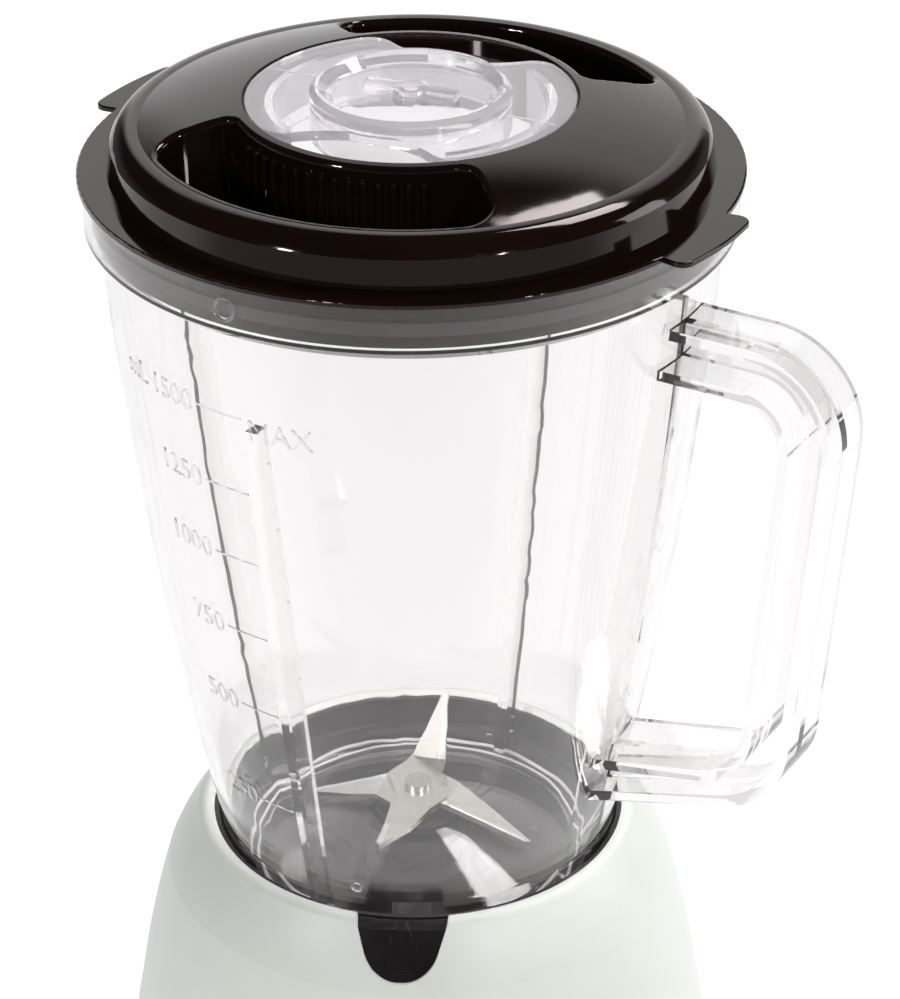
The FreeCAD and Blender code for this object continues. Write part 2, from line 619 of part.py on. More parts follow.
def field_coils():
    """Two coils, each a frame wound about one pole and bent to the yoke's curve."""
    coils = []
    for number, middle in enumerate((90, -90)):
        winding = plate(f"coil_block_{number}", "stack_low - coil_end",
                        "stack_high - stack_low + 2 * coil_end",
                        outlines=[sector_outline("coil_inner", "coil_outer", middle, "coil_half")])
        window = plate(f"coil_window_{number}", "stack_low - coil_gap",
                       "stack_high - stack_low + 2 * coil_gap",
                       outlines=[sector_outline("coil_inner - coil_gap", "coil_outer + coil_gap",
                                                middle, "pole_half + coil_gap * 2")])
        coils.append(cut(f"coil_{number}", winding, window))
    return group("field_coils_shape", coils)


def armature_core():
    """The laminated rotor stack with its wire slots."""
    body = plate("core", "stack_low", "stack_high - stack_low",
                 circles=[("core_radius",), ("shaft_radius",)])
    slot = pocket(body, "stack_low", "stack_high - stack_low",
                  [box_outline("core_radius - slot_depth", "core_radius + slot_width",
                               "-slot_width / 2", "slot_width / 2")])
    return repeat_round(body, slot, "slot_count")


def armature_windings():
    """The copper in the rotor's slots and the rounded end turns that join it."""
    low_end = lathe("low_end_turns", [
        ("winding_inner", "stack_low - winding_end"),
        ("winding_outer - winding_round", "stack_low - winding_end", "winding_round"),
        ("winding_outer", "stack_low - winding_end + winding_round"),
        ("winding_outer", "stack_low"), ("winding_inner", "stack_low")])
    bar = raise_pad(low_end, "stack_low", "stack_high - stack_low", [
        box_outline("core_radius - slot_depth", "winding_outer", "-slot_width / 2",
                    "slot_width / 2")])
    repeat_round(low_end, bar, "slot_count")
    high_end = lathe("high_end_turns", [
        ("winding_inner", "stack_high"), ("winding_outer", "stack_high"),
        ("winding_outer", "stack_high + winding_end - winding_round", "winding_round"),
        ("winding_outer - winding_round", "stack_high + winding_end"),
        ("winding_inner", "stack_high + winding_end")])
    return fuse("armature_windings_shape", low_end, high_end)


def commutator():
    """The copper bars that the brushes run on, parted by fine saw cuts."""
    height = "commutator_high - commutator_low"
    body = plate("bars", "commutator_low", height,
                 circles=[("commutator_radius",), ("shaft_radius",)])
    kerf = pocket(body, "commutator_low", height, [
        box_outline("commutator_radius - commutator_cut * 2", "commutator_radius + commutator_cut",
                    "-commutator_cut / 2", "commutator_cut / 2")])
    return repeat_round(body, kerf, "bar_count")


def motor_shaft():
    """The steel shaft from the fan up to the drive socket, with a necked top."""
    return lathe("shaft", [
        (0, "shaft_low"), ("shaft_radius - shaft_chamfer", "shaft_low"),
        ("shaft_radius", "shaft_low + shaft_chamfer"), ("shaft_radius", "shaft_step"),
        ("shaft_neck", "shaft_step"), ("shaft_neck", "shaft_top - shaft_chamfer"),
        ("shaft_neck - shaft_chamfer", "shaft_top"), (0, "shaft_top")])


def cooling_fan():
    """A radial fan: a hub under a thin disc, with straight blades below the disc."""
    body = lathe("fan", [
        ("shaft_radius", "fan_low"), ("fan_hub", "fan_low"), ("fan_hub", "fan_high - fan_disc"),
        ("fan_radius", "fan_high - fan_disc"), ("fan_radius", "fan_high"),
        ("shaft_radius", "fan_high")])
    blade = raise_pad(body, "fan_low", "fan_high - fan_low - fan_disc", [
        box_outline("fan_hub - fan_blade / 2", "fan_radius - fan_blade / 2", "-fan_blade / 2",
                    "fan_blade / 2")])
    return repeat_round(body, blade, "fan_count")


def bracket(label, low, hung):
    """A motor end bracket: a spoked disc with a bearing boss, bolt ears and maybe hanger ears."""
    disc = cylinder(f"{label}_disc", "bracket_radius", low, "bracket_wall")
    boss = cylinder(f"{label}_boss", "bracket_boss", f"{low} - bearing_height + bracket_wall",
                    "bearing_height")
    solids, holes = [disc, boss], []
    for number, angle in enumerate(BOLT_ANGLES):
        x, y = polar("bolt_circle", angle)
        solids.append(cylinder(f"{label}_bolt_ear_{number}", "bolt_ear", low, "bracket_wall", x, y))
        holes.append(cylinder(f"{label}_bolt_hole_{number}", "bolt_radius", low, "bracket_wall", x, y))
    for number, angle in enumerate(HANGER_ANGLES if hung else ()):
        x, y = polar("hanger_circle", angle)
        solids.append(cylinder(f"{label}_ear_{number}", "hanger_ear", low, "bracket_wall", x, y))
        holes.append(cylinder(f"{label}_hole_{number}", "screw_shank", low, "bracket_wall", x, y))
    for number in range(4):
        window = plate(f"{label}_window_{number}", low, "bracket_wall", outlines=[
            sector_outline("window_inner", "window_outer", 90 * number, "window_half")])
        holes.append(window)
    seat = cylinder(f"{label}_seat", "bearing_radius", f"{low} - bearing_height + bracket_wall",
                    "bearing_height")
    return cut(f"{label}_shape", fuse(f"{label}_solid", *solids), seat, *holes)


def bearing(label, low):
    """A sealed ball bearing: two races with a shallow groove between them on both faces."""
    high = f"{low} + bearing_height"
    inner, outer = "shaft_radius + bearing_race", "bearing_radius - bearing_race"
    return lathe(label, [
        ("shaft_radius + fit", low), (inner, low), (inner, f"{low} + bearing_groove"),
        (outer, f"{low} + bearing_groove"), (outer, low), ("bearing_radius", low),
        ("bearing_radius", high), (outer, high), (outer, f"{high} - bearing_groove"),
        (inner, f"{high} - bearing_groove"), (inner, high), ("shaft_radius + fit", high)])


def motor_bolts():
    """Two long bolts that clamp the brackets to the stator, with their heads below."""
    bolts = []
    top = "upper_bracket_low + bracket_wall + bolt_head_height"
    for number, angle in enumerate(BOLT_ANGLES):
        x, y = polar("bolt_circle", angle)
        head = cylinder(f"bolt_head_{number}", "bolt_head", "lower_bracket_low - bolt_head_height",
                        "bolt_head_height", x, y)
        nut = cylinder(f"bolt_nut_{number}", "bolt_head", "upper_bracket_low + bracket_wall",
                       "bolt_head_height", x, y)
        stem = cylinder(f"bolt_stem_{number}", "bolt_radius", "lower_bracket_low",
                        f"{top} - lower_bracket_low", x, y)
        bolts.append(fuse(f"bolt_{number}", head, stem, nut))
    return group("motor_bolts_shape", bolts)


def motor_mounts():
    """Four rubber rings between the upper bracket and the liner's hangers."""
    rings = []
    for number, angle in enumerate(HANGER_ANGLES):
        x, y = polar("hanger_circle", angle)
        low = "upper_bracket_low + bracket_wall"
        ring = cylinder(f"mount_ring_{number}", "mount_radius", low, "mount_height", x, y)
        hole = cylinder(f"mount_hole_{number}", "screw_shank", low, "mount_height", x, y)
        rings.append(cut(f"mount_{number}", ring, hole))
    return group("motor_mounts_shape", rings)


def mount_screws():
    """The four screws that hang the motor from the liner through the rubber rings."""
    return group("mount_screws_shape", [
        screw(f"mount_screw_{number}", *polar("hanger_circle", angle),
              "upper_bracket_low - screw_head_height", "hanger_screw_length")
        for number, angle in enumerate(HANGER_ANGLES)])


def brush_height(offset):
    """A height measured from the middle of the commutator."""
    return f"(commutator_low + commutator_high) / 2 + ({offset})"


def both_sides(label, item):
    """An object and its copy half a turn about the upright axis, as one compound."""
    copy = doc.addObject("Part::Mirroring", f"{label}_mirrored")
    copy.Source = item
    copy.Normal = FreeCAD.Vector(1, 0, 0)
    return group(label, [item, copy])


def brush_holders():
    """Two plastic holders on the lower bracket, each with a square bore for its brush."""
    half = "holder_width / 2"
    case = block("holder_case", "holder_inner", "holder_outer", f"-{half}", half,
                 brush_height(f"-{half}"), brush_height(half))
    foot = block("holder_foot", "holder_outer - holder_foot", "holder_outer", f"-{half}", half,
                 "lower_bracket_low + bracket_wall", brush_height(f"-{half}"))
    bore = block("holder_bore", "holder_inner", "holder_outer - holder_end", "-brush_width / 2",
                 "brush_width / 2", brush_height("-brush_width / 2"), brush_height("brush_width / 2"))
    return both_sides("brush_holders_shape", cut("holder", fuse("holder_solid", case, foot), bore))


def carbon_brushes():
    """Two carbon blocks that bear on the commutator."""
    half = "brush_width / 2 - fit"
    brush = block("brush", "commutator_radius + fit", "brush_outer", f"-({half})", half,
                  brush_height(f"-({half})"), brush_height(half))
    return both_sides("carbon_brushes_shape", brush)


def brush_springs():
    """Two coils that press the brushes inward."""
    spring = coil(size("brush_spring_radius"), size("brush_spring_wire"), 4, size("brush_outer"),
                  size("holder_outer - holder_end"))
    spring.rotate(FreeCAD.Vector(0, 0, 0), FreeCAD.Vector(0, 1, 0), 90)
    spring.translate(FreeCAD.Vector(0, 0, size(brush_height(0))))
    mirrored = spring.mirror(FreeCAD.Vector(0, 0, 0), FreeCAD.Vector(1, 0, 0))
    return shaped("brush_springs_shape", Part.makeCompound([spring, mirrored]))


def drive_socket():
    """The rubber socket on the motor shaft that the jar's coupler drops into."""
    floor = "socket_low + socket_floor"
    body = lathe("socket", [
        ("shaft_neck", "shaft_step"), ("socket_neck", "shaft_step"), ("socket_neck", "socket_low"),
        ("socket_radius", "socket_low"), ("socket_radius", "socket_top"),
        ("socket_well", "socket_top"), ("socket_well", floor), ("shaft_neck", floor)])
    slot = pocket(body, floor, "socket_top - socket_low", [
        box_outline("socket_well / 2", "socket_reach", "-socket_slot / 2", "socket_slot / 2")])
    return repeat_round(body, slot, "lobe_count")


def jar_coupler():
    """The star under the jar that the drive socket turns."""
    body = plate("coupler", "coupler_low", "coupler_top - coupler_low",
                 circles=[("coupler_radius",), ("blade_shaft",)])
    tooth = raise_pad(body, "coupler_low", "coupler_top - coupler_low", [
        box_outline("coupler_radius - coupler_root", "coupler_tip", "-coupler_tooth / 2",
                    "coupler_tooth / 2")])
    return repeat_round(body, tooth, "lobe_count")


# ---- Interlock under the jar's foot ----

def interlock_pin():
    """The pin that the jar's foot presses, with the collar that its spring bears on."""
    stem = cylinder("pin_stem", "pin_radius", "pin_low", "ring - well_depth - pin_low", 0, "pin_circle")
    collar = cylinder("pin_collar_disc", "pin_collar", "pin_collar_low",
                      "pin_collar_top - pin_collar_low", 0, "pin_circle")
    return fuse("interlock_pin_shape", stem, collar)


def interlock_spring():
    """The spring between the pin's collar and the retainer."""
    spring = coil(size("spring_radius"), size("spring_wire"), size("spring_turns"),
                  size("guide_low"), size("pin_collar_low"))
    spring.translate(FreeCAD.Vector(0, size("pin_circle"), 0))
    return shaped("interlock_spring_shape", spring)


def pin_retainer():
    """The ring that closes the pin's guide from below."""
    height = "guide_low - retainer_low"
    ring = cylinder("retainer_ring", "guide_radius", "retainer_low", height, 0, "pin_circle")
    hole = cylinder("retainer_hole", "pin_bore", "retainer_low", height, 0, "pin_circle")
    return cut("pin_retainer_shape", ring, hole)


def interlock_switch():
    """The small switch that the pin closes when the jar is locked on."""
    return block("interlock_switch_shape", "-micro_half", "micro_half", "pin_circle - micro_depth",
                 "pin_circle + micro_depth", "micro_low", "micro_top")


# ---- Jar ----

def jar_line(inset):
    """The jar's flaring wall, from the ring up to its shoulder, set inward."""
    return [(f"jar_ring_radius - {inset}", "ring + jar_flare", "jar_bend"),
            (f"jar_shoulder_radius - {inset}", "ring + jar_shoulder")]


def handle_plate(label, points, half):
    """A plate in the handle's upright plane, from its outline and half its thickness."""
    body = plate(label, 0, f"2 * ({half})", outlines=[points], plane="XZ_Plane", middle=True)
    return place(body, turn="handle_angle")


def arm_outline(inset):
    """The four corners of the handle's outer line, set inward."""
    return [("handle_root", f"ring + arm_foot + {inset}"),
            (f"grip_foot_reach - {inset}", f"ring + grip_foot + {inset}"),
            (f"grip_top_reach - {inset}", f"ring + arm_top - {inset}"),
            ("handle_root", f"ring + arm_top - {inset}")]


def window_outline(outset):
    """The four corners of the finger gap's line, set outward."""
    return [("handle_root", f"ring + window_arm_foot - {outset}"),
            (f"window_foot_reach + {outset}", f"ring + window_foot - {outset}"),
            (f"window_top_reach + {outset}", f"ring + window_top + {outset}"),
            ("handle_root", f"ring + window_top + {outset}")]


def outer_plate(label, inset, half):
    """A plate of the handle's outer line, with its two outer corners rounded."""
    points = arm_outline(inset)
    body = handle_plate(label, points, half)
    return round_corners(body, f"outer_bend - {inset}", points[1], points[2], axis="Y")


def window_plate(label, outset, half):
    """A plate of the finger gap's line, with its two outer corners rounded."""
    points = window_outline(outset)
    body = handle_plate(label, points, half)
    round_corners(body, f"window_foot_bend + {outset}", points[1], axis="Y")
    top = f"window_top_bend + {outset}"
    return round_corners(body, top, points[2], axis="Y")


def handle():
    """The I-section handle: an outer flange, an inner flange and the web between them."""
    outer_flange = cut("outer_flange", outer_plate("outer_line", 0, "outer_flange_half"),
                       outer_plate("outer_hollow", "flange_wall", "handle_root"))
    inner_flange = cut("inner_flange", window_plate("inner_line", "flange_wall", "inner_flange_half"),
                       window_plate("inner_hollow", 0, "handle_root"))
    web = cut("handle_web", outer_plate("web_line", 0, "web_half"),
              window_plate("web_hollow", 0, "handle_root"))
    return fuse("handle", outer_flange, inner_flange, web)


def rib(label, top, turn):
    """An upright rib inside the jar, deeper at its foot, before it is trimmed to the wall."""
    wall = "jar_shoulder_radius - jar_wall"
    body = plate(label, 0, "2 * rib_half", plane="XZ_Plane", middle=True, outlines=[[
        ("jar_ring_radius - jar_wall - rib_foot_reach", "ring + rib_foot"),
        ("jar_shoulder_radius", "ring + rib_foot"), ("jar_shoulder_radius", f"ring + {top}"),
        (f"{wall} - rib_top_reach - (jar_shoulder - {top}) * rib_lean", f"ring + {top}")]])
    return place(body, turn=turn)


def jar():
    """The clear jar: wall, stepped rim band, coned floor, foot skirt, four ribs and the handle."""
    floor, cone_top = "ring - floor_drop", "ring - cone_top_drop"
    foot, band_top = "ring - jar_foot_drop", "ring + band_high"
    under_edge, under_cone = f"{floor} - jar_wall", f"{cone_top} - jar_wall"
    solid = lathe("jar_solid", [
        (0, foot), ("jar_foot_radius", foot), *jar_line(0), ("band_radius", "ring + band_low"),
        ("band_radius", band_top), (0, band_top)])
    inner_band = "band_radius - band_wall"
    cavity = lathe("jar_cavity", [
        (0, cone_top), ("cone_top_radius", cone_top), ("cone_radius", floor),
        ("jar_ring_radius - jar_wall - floor_edge", floor, "floor_bend"),
        ("jar_ring_radius - jar_wall - foot_lean", f"{floor} + floor_edge"), *jar_line("jar_wall"),
        (inner_band, "ring + band_low + band_seat"), (inner_band, band_top), (0, band_top)])
    under = lathe("jar_underside", [
        (0, foot), ("jar_foot_radius - foot_wall", foot),
        ("jar_foot_radius - foot_wall", under_edge), ("cone_radius + foot_lean", under_edge),
        ("nut_radius + foot_lean", under_cone), (0, under_cone)])
    bore = cylinder("hub_opening", "hub_bore", foot, "jar_foot_drop", 0, 0)
    shell = cut("jar_shell", fuse("jar_with_handle", solid, handle()), cavity, under, bore)
    ribs = fuse("rib_blanks", rib("front_rib", "short_rib_top", "handle_angle - rib_turn"),
                *[rib(f"rib_{number}", "long_rib_top", f"handle_angle + rib_turn * {number}")
                  for number in range(3)])
    lining = cut("rib_bounds", lathe("rib_limit", [
        (0, foot), ("jar_foot_radius", foot), *jar_line("jar_wall / 2"),
        (0, "ring + jar_shoulder")]), under)
    return fuse("jar_shape", shell, common("ribs", ribs, lining))


# ---- Blade unit ----

def bearing_housing():
    """The black carrier through the jar's floor, flanged above it."""
    seat = "ring - cone_top_drop"
    flange = f"{seat} + flange_height"
    return lathe("carrier", [
        ("bush_radius", "housing_low"), ("housing_radius", "housing_low"), ("housing_radius", seat),
        ("flange_radius", seat), ("flange_radius", flange), ("seal_radius", flange),
        ("seal_radius", f"{flange} - seal_height"), ("bush_radius", f"{flange} - seal_height")])


def bearing_nut():
    """The hexagonal nut that clamps the carrier to the jar's floor."""
    corners = [polar("nut_radius", 60 * number) for number in range(6)]
    return plate("nut", "ring - cone_top_drop - jar_wall - nut_height", "nut_height",
                 outlines=[corners], circles=[("housing_radius",)])


def ring_of(label, inner, outer, low, height):
    """A plain ring about the axis."""
    return lathe(label, [(inner, low), (outer, low), (outer, f"{low} + {height}"),
                         (inner, f"{low} + {height}")])


def shaft_bushes():
    """Two bronze bushes, one at each end of the carrier's bore."""
    top = "ring - cone_top_drop + flange_height - seal_height - bush_length"
    return group("shaft_bushes_shape", [
        ring_of(f"bush_{number}", "blade_shaft + fit", "bush_radius", low, "bush_length")
        for number, low in enumerate(("housing_low", top))])


def shaft_seal():
    """The rubber lip seal above the upper bush."""
    return ring_of("seal", "blade_shaft + fit", "seal_radius",
                   "ring - cone_top_drop + flange_height - seal_height", "seal_height")


def blade_level(count):
    """The underside of the washer, or the height of a number of blades above the washer."""
    return f"ring - cone_top_drop + flange_height + seal_gap + {count}"


def blade_shaft():
    """The stainless shaft, necked through the blades and riveted over them in a flat head."""
    neck_low = blade_level(0)
    head = blade_level("washer_height + 2 * blade_gauge")
    return lathe("blade_axle", [
        (0, "blade_shaft_low"), ("blade_shaft", "blade_shaft_low"), ("blade_shaft", neck_low),
        ("blade_neck", neck_low), ("blade_neck", head), ("rivet_radius", head),
        ("rivet_radius", f"{head} + rivet_height"), (0, f"{head} + rivet_height")])


def blade_washer():
    """The domed washer under the blades."""
    low = blade_level(0)
    return lathe("washer", [
        ("blade_neck", low), ("washer_radius", low),
        ("washer_radius - washer_crown", f"{low} + washer_height - washer_crown"),
        ("blade_shaft", f"{low} + washer_height"), ("blade_neck", f"{low} + washer_height")])


def blade(label, length, low, angle, bends):
    """A stamped blade plate with two arms; each bend folds an arm about a line across it."""
    reach, gauge, high = size(length), size("blade_gauge"), size("hub_half")
    half = [(size("edge_root"), -size("edge_half")), (reach - size("tip_trim"), -size("tip_half")),
            (reach, -size("tip_trim")), (size("belly_at"), size("belly")),
            (size("shoulder_at"), size("shoulder_half")), (size("hub_at"), high)]
    corners = [FreeCAD.Vector(x * turn, y * turn, 0) for turn in (1, -1) for x, y in half]
    flat = Part.Face(Part.makePolygon(corners + corners[:1])).extrude(FreeCAD.Vector(0, 0, gauge))
    for side, start, fold in bends:
        line = size(start)
        arm_box = Part.makeBox(reach, 4 * high, 2 * gauge, FreeCAD.Vector(line, -2 * high, -gauge / 2))
        if side < 0:
            arm_box.rotate(FreeCAD.Vector(0, 0, 0), FreeCAD.Vector(0, 0, 1), 180)
        arm = flat.common(arm_box)
        hinge = FreeCAD.Vector(side * line, 0, 0 if fold > 0 else gauge)
        arm.rotate(hinge, FreeCAD.Vector(0, -side, 0), fold)
        flat = flat.cut(arm_box).fuse(arm)
    flat = flat.cut(Part.makeCylinder(size("blade_neck"), gauge)).removeSplitter()
    solid = flat.Solids[0] if len(flat.Solids) == 1 else flat
    item = shaped(label, solid)
    item.Placement = FreeCAD.Placement(FreeCAD.Vector(0, 0, size(low)),
                                       FreeCAD.Rotation(FreeCAD.Vector(0, 0, 1), size(angle)))
    return item


def upper_blade():
    """The upper plate: one arm folded up, the other nearly flat."""
    return blade("upper_blade_shape", "upper_length", blade_level("washer_height + blade_gauge"),
                 "upper_blade_angle",
                 [(1, "up_bend_at", size("up_bend")), (-1, "front_bend_at", size("front_bend"))])


def lower_blade():
    """The lower plate, with both arms folded down."""
    return blade("lower_blade_shape", "lower_length", blade_level("washer_height"),
                 "lower_blade_angle",
                 [(side, "down_bend_at", -size("down_bend")) for side in (1, -1)])


# ---- Lid and filler cap ----

def sector_body(label, inner, outer, middle, half, low, height, inner_round, outer_round):
    """An upright ring sector with its corners rounded."""
    points = sector_outline(inner, outer, middle, half)
    body = plate(label, low, height, outlines=[points])
    if outer_round:
        round_corners(body, outer_round, points[1][:2], points[2][:2])
    if inner_round:
        round_corners(body, inner_round, points[0][:2], points[3][:2])
    return body


def lid():
    """The domed lid: a thin shell with a flange, a skirt, two finger pockets and the filler hole."""
    flange_top, side = "ring + lid_low + flange_gauge", "dome_side - lid_wall"
    ledge, top = "ring + top_height - ledge_drop", "ring + top_height"
    crest = ("crest_radius", "ring + crest_height")
    shell = lathe("lid_shell", [
        ("skirt_radius_lid", "ring + skirt_low"), ("skirt_radius_lid", "ring + lid_low"),
        ("flange_reach", "ring + lid_low"), ("flange_reach", flange_top), ("dome_foot", flange_top),
        ("dome_side", "ring + dome_side_height", "crest_bend"), (*crest, "top_bend"),
        ("top_radius", top), ("top_radius", ledge), ("ledge_radius", ledge),
        ("ledge_radius", "ring + hole_low"), ("ledge_radius + lid_wall", "ring + hole_low"),
        ("ledge_radius + lid_wall", f"{ledge} - lid_wall"),
        ("top_radius + lid_wall", f"{ledge} - lid_wall"),
        ("top_radius + lid_wall", f"{top} - lid_wall"),
        ("crest_radius - lid_wall / 2", "ring + crest_height - lid_wall"),
        (side, "ring + dome_side_height - lid_wall / 2"), (side, "ring + lid_low"),
        ("skirt_radius_lid - lid_wall", "ring + lid_low - lid_wall"),
        ("skirt_radius_lid - lid_wall", "ring + skirt_low")])
    dome = lathe("dome_solid", [
        (0, "ring + pocket_floor - pocket_wall"),
        ("dome_side - lid_wall", "ring + pocket_floor - pocket_wall"),
        ("dome_side", "ring + dome_side_height", "crest_bend"), (*crest, "top_bend"),
        ("top_radius", top), (0, top)])
    tabs, walls, hollows = [], [], []
    for number in range(2):
        turn = f"180 * {number}"
        tabs.append(sector_body(f"lid_tab_{number}", "skirt_radius_lid", "tab_reach_lid",
                                f"handle_angle + tab_turn + {turn}", "tab_half_angle", "ring + lid_low",
                                "flange_gauge", 0, "tab_corner"))
        angle = f"pocket_angle + {turn}"
        walls.append(sector_body(
            f"pocket_wall_{number}", "pocket_inner - pocket_wall", "pocket_outer + pocket_wall",
            angle, "pocket_half + pocket_wall", "ring + pocket_floor - pocket_wall",
            "top_height - pocket_floor + pocket_wall", "pocket_corner_inner + pocket_wall",
            "pocket_corner + pocket_wall"))
        hollows.append(sector_body(
            f"pocket_hollow_{number}", "pocket_inner", "pocket_outer", angle, "pocket_half",
            "ring + pocket_floor", "top_height", "pocket_corner_inner", "pocket_corner"))
    pockets = common("pocket_shells", fuse("pocket_blanks", *walls), dome)
    solid = fuse("lid_solid", shell, pockets, *tabs)
    blank = cut("lid_blank", solid, *hollows, seal_ring("seal_groove"))
    doc.recompute()
    above = size("ring + dome_side_height")
    hollow = [item.Shape.copy() for item in hollows]

    def on_lip(edge):
        """True of the edges where the dome turns down into a finger pocket."""
        spot = Part.Vertex(middle_of(edge))
        return edge.BoundBox.ZMin > above and min(
            spot.distToShape(shape)[0] for shape in hollow) < size("lip_near")

    def on_rim(edge):
        """True of the flange's upper edge, round the dome and the tabs."""
        flat = edge.BoundBox.ZLength < size("lip_near")
        spot = middle_of(edge)
        return (flat and abs(spot.z - size(flange_top)) < size("lip_near")
                and math.hypot(spot.x, spot.y) > size("dome_foot + tab_corner"))

    lips = soften("lid_lips", blank, "lip_round", on_lip)
    return soften("lid_shape", lips, "rim_round", on_rim)


def seal_ring(label):
    """The ring that seals the lid's skirt in the jar's band."""
    return ring_of(label, "skirt_radius_lid - seal_depth", "seal_reach", "ring + seal_low",
                   "seal_high - seal_low")


def lid_seal():
    """The rubber ring in the skirt's groove."""
    return seal_ring("lid_ring")


def wing_outline():
    """The cap's outline: two broad wings joined by a waist that follows the cup."""
    points = []
    for turn in ("0", "180"):
        low, high = f"{turn} - wing_half", f"{turn} + wing_half"
        waist_in, waist_out = f"{turn} + 90 - waist_half", f"{turn} + 90 + waist_half"
        points += [(*polar("wing_radius", low), "wing_radius"),
                   (*polar("wing_radius", high), "-waist_bend"),
                   (*polar("cup_radius + waist_gap", waist_in), "cup_radius + waist_gap"),
                   (*polar("cup_radius + waist_gap", waist_out), "-waist_bend")]
    return points


def filler_cap():
    """The clear cap: winged plate, ring round a shallow disc with a grip bar, and its skirts."""
    plate_low = "ring + top_height - ledge_drop + wing_gap"
    rim, floor = f"{plate_low} + wing_gauge + cup_rise", "ring + cup_floor"
    points = wing_outline()
    wings = plate("wings", plate_low, "wing_gauge", outlines=[points])
    round_corners(wings, "wing_corner", *[points[n][:2] for n in (0, 1, 4, 5)])
    inside = "cup_radius - cup_wall"
    cup = lathe("cup", [
        (0, f"{floor} - cup_wall"), (inside, f"{floor} - cup_wall"), (inside, "ring + cup_low"),
        ("cup_radius", "ring + cup_low"), ("cup_radius", f"{rim} - cup_lean"),
        ("cup_radius - cup_lean", rim), (inside, rim), ("cup_inner", floor), (0, floor)])
    cup_room = cylinder("cup_room", inside, "ring + cup_low", "cup_floor - cup_low", 0, 0)
    skirts = []
    for number in range(2):
        low = "ring + cap_skirt_low"
        skirts.append(sector_body(f"cap_skirt_{number}", "cap_skirt - cap_skirt_wall", "cap_skirt",
                                  180 * number, "cap_skirt_half", low, f"{plate_low} - ({low})", 0, 0))
        skirts.append(sector_body(f"cap_lug_{number}", "cap_skirt - cap_skirt_wall", "lug_reach",
                                  180 * number, "lug_half", low, "lug_height", 0, 0))
    bar = block("grip_bar", "-bar_half", "bar_half", "-bar_width / 2", "bar_width / 2", floor,
                f"{floor} + bar_rise")
    boss = cylinder("grip_boss", "boss_radius", floor, "bar_rise", 0, 0)
    dimple = cylinder("boss_dimple", "dimple_radius", floor, "bar_rise", 0, 0)
    solid = cut("cap_solid", fuse("cap_blank", cut("open_wings", wings, cup_room), cup, bar, boss,
                                  *skirts), dimple)
    return place(solid, turn="cap_angle")


# ---- The pieces, and their files ----

PIECES = [
    base_housing, well_liner, bottom_cover, foot_ring, cover_screws, speed_switch, cord_inlet,
    terminal_block, control_knob, knob_spindle, stator_core, field_coils, armature_core,
    armature_windings, commutator, motor_shaft, cooling_fan, motor_bolts, motor_mounts,
    mount_screws, brush_holders, carbon_brushes, brush_springs, drive_socket, jar_coupler,
    interlock_pin, interlock_spring, pin_retainer, interlock_switch, jar, bearing_housing,
    bearing_nut, shaft_bushes, shaft_seal, blade_shaft, blade_washer, upper_blade, lower_blade,
    lid, lid_seal, filler_cap]

for piece in PIECES:
    node(piece.__name__, piece())
for end, level, hung in (("lower", "lower_bracket_low", False), ("upper", "upper_bracket_low", True)):
    node(f"{end}_bracket", bracket(f"{end}_end", level, hung))
    node(f"{end}_bearing", bearing(f"{end}_races", f"{level} - bearing_height + bracket_wall"))

doc.recompute()
for item in doc.Objects:
    if {"Invalid", "Error"} & set(item.State):
        raise RuntimeError(f"{item.Label}: {item.State}")
os.makedirs("parts", exist_ok=True)
for item in NODES:
    if item.Shape.isNull() or not item.Shape.isValid():
        raise RuntimeError(f"{item.Label}: its shape is null or not valid")
for item in NODES:
    item.Shape.exportStep(f"parts/{item.Label}.step")
    print(item.Label, len(item.Shape.Solids), round(item.Shape.Volume / 1000, 2), "cm3")
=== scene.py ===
import math

import bmesh
import bpy
from mathutils import Matrix, Vector
from mathutils.bvhtree import BVHTree


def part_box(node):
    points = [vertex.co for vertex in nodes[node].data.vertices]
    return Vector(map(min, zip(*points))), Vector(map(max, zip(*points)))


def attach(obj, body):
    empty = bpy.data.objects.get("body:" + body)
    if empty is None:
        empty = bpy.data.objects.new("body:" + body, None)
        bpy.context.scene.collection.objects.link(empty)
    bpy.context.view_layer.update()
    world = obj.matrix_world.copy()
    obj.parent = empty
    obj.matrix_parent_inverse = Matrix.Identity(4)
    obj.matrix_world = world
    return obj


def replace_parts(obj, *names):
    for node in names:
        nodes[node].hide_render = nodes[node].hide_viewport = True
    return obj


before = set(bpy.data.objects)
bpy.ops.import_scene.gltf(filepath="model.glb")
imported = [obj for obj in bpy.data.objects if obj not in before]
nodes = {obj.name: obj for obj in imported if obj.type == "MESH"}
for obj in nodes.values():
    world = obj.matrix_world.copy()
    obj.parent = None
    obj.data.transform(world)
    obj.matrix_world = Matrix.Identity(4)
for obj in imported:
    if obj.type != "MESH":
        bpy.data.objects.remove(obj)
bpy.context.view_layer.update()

# A countertop blender. The rebuilt frame gives every part its place; this script gives each part
# its finish and adds the fine detail: the jar's graduations, gate rings and floor steps, the lid's
# grip ribs, the cap's ridges, the padlock on the lock tab, the ground edges of the blades, and the
# control knob's soft edges, flutes, pointer and scale.

scene = bpy.context.scene


# ---- Sizes ----

def mm(value):
    """Millimetres as metres."""
    return value / 1000


# The rim of the jar well, the height that everything hangs on
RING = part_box("well_liner")[1].z + mm(0.3)
JAR_FLOOR = RING - mm(9.5)
KNOB_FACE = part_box("control_knob")[0].y
KNOB_HEIGHT = (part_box("control_knob")[0].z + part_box("control_knob")[1].z) / 2
BEZEL_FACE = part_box("base_housing")[0].y

# Degrees round the jar's axis, from +X
MARK_TURN, MARK_END = -128.5, -118               # where the graduation lines begin and end
POCKET_TURNS = (-114, 66)

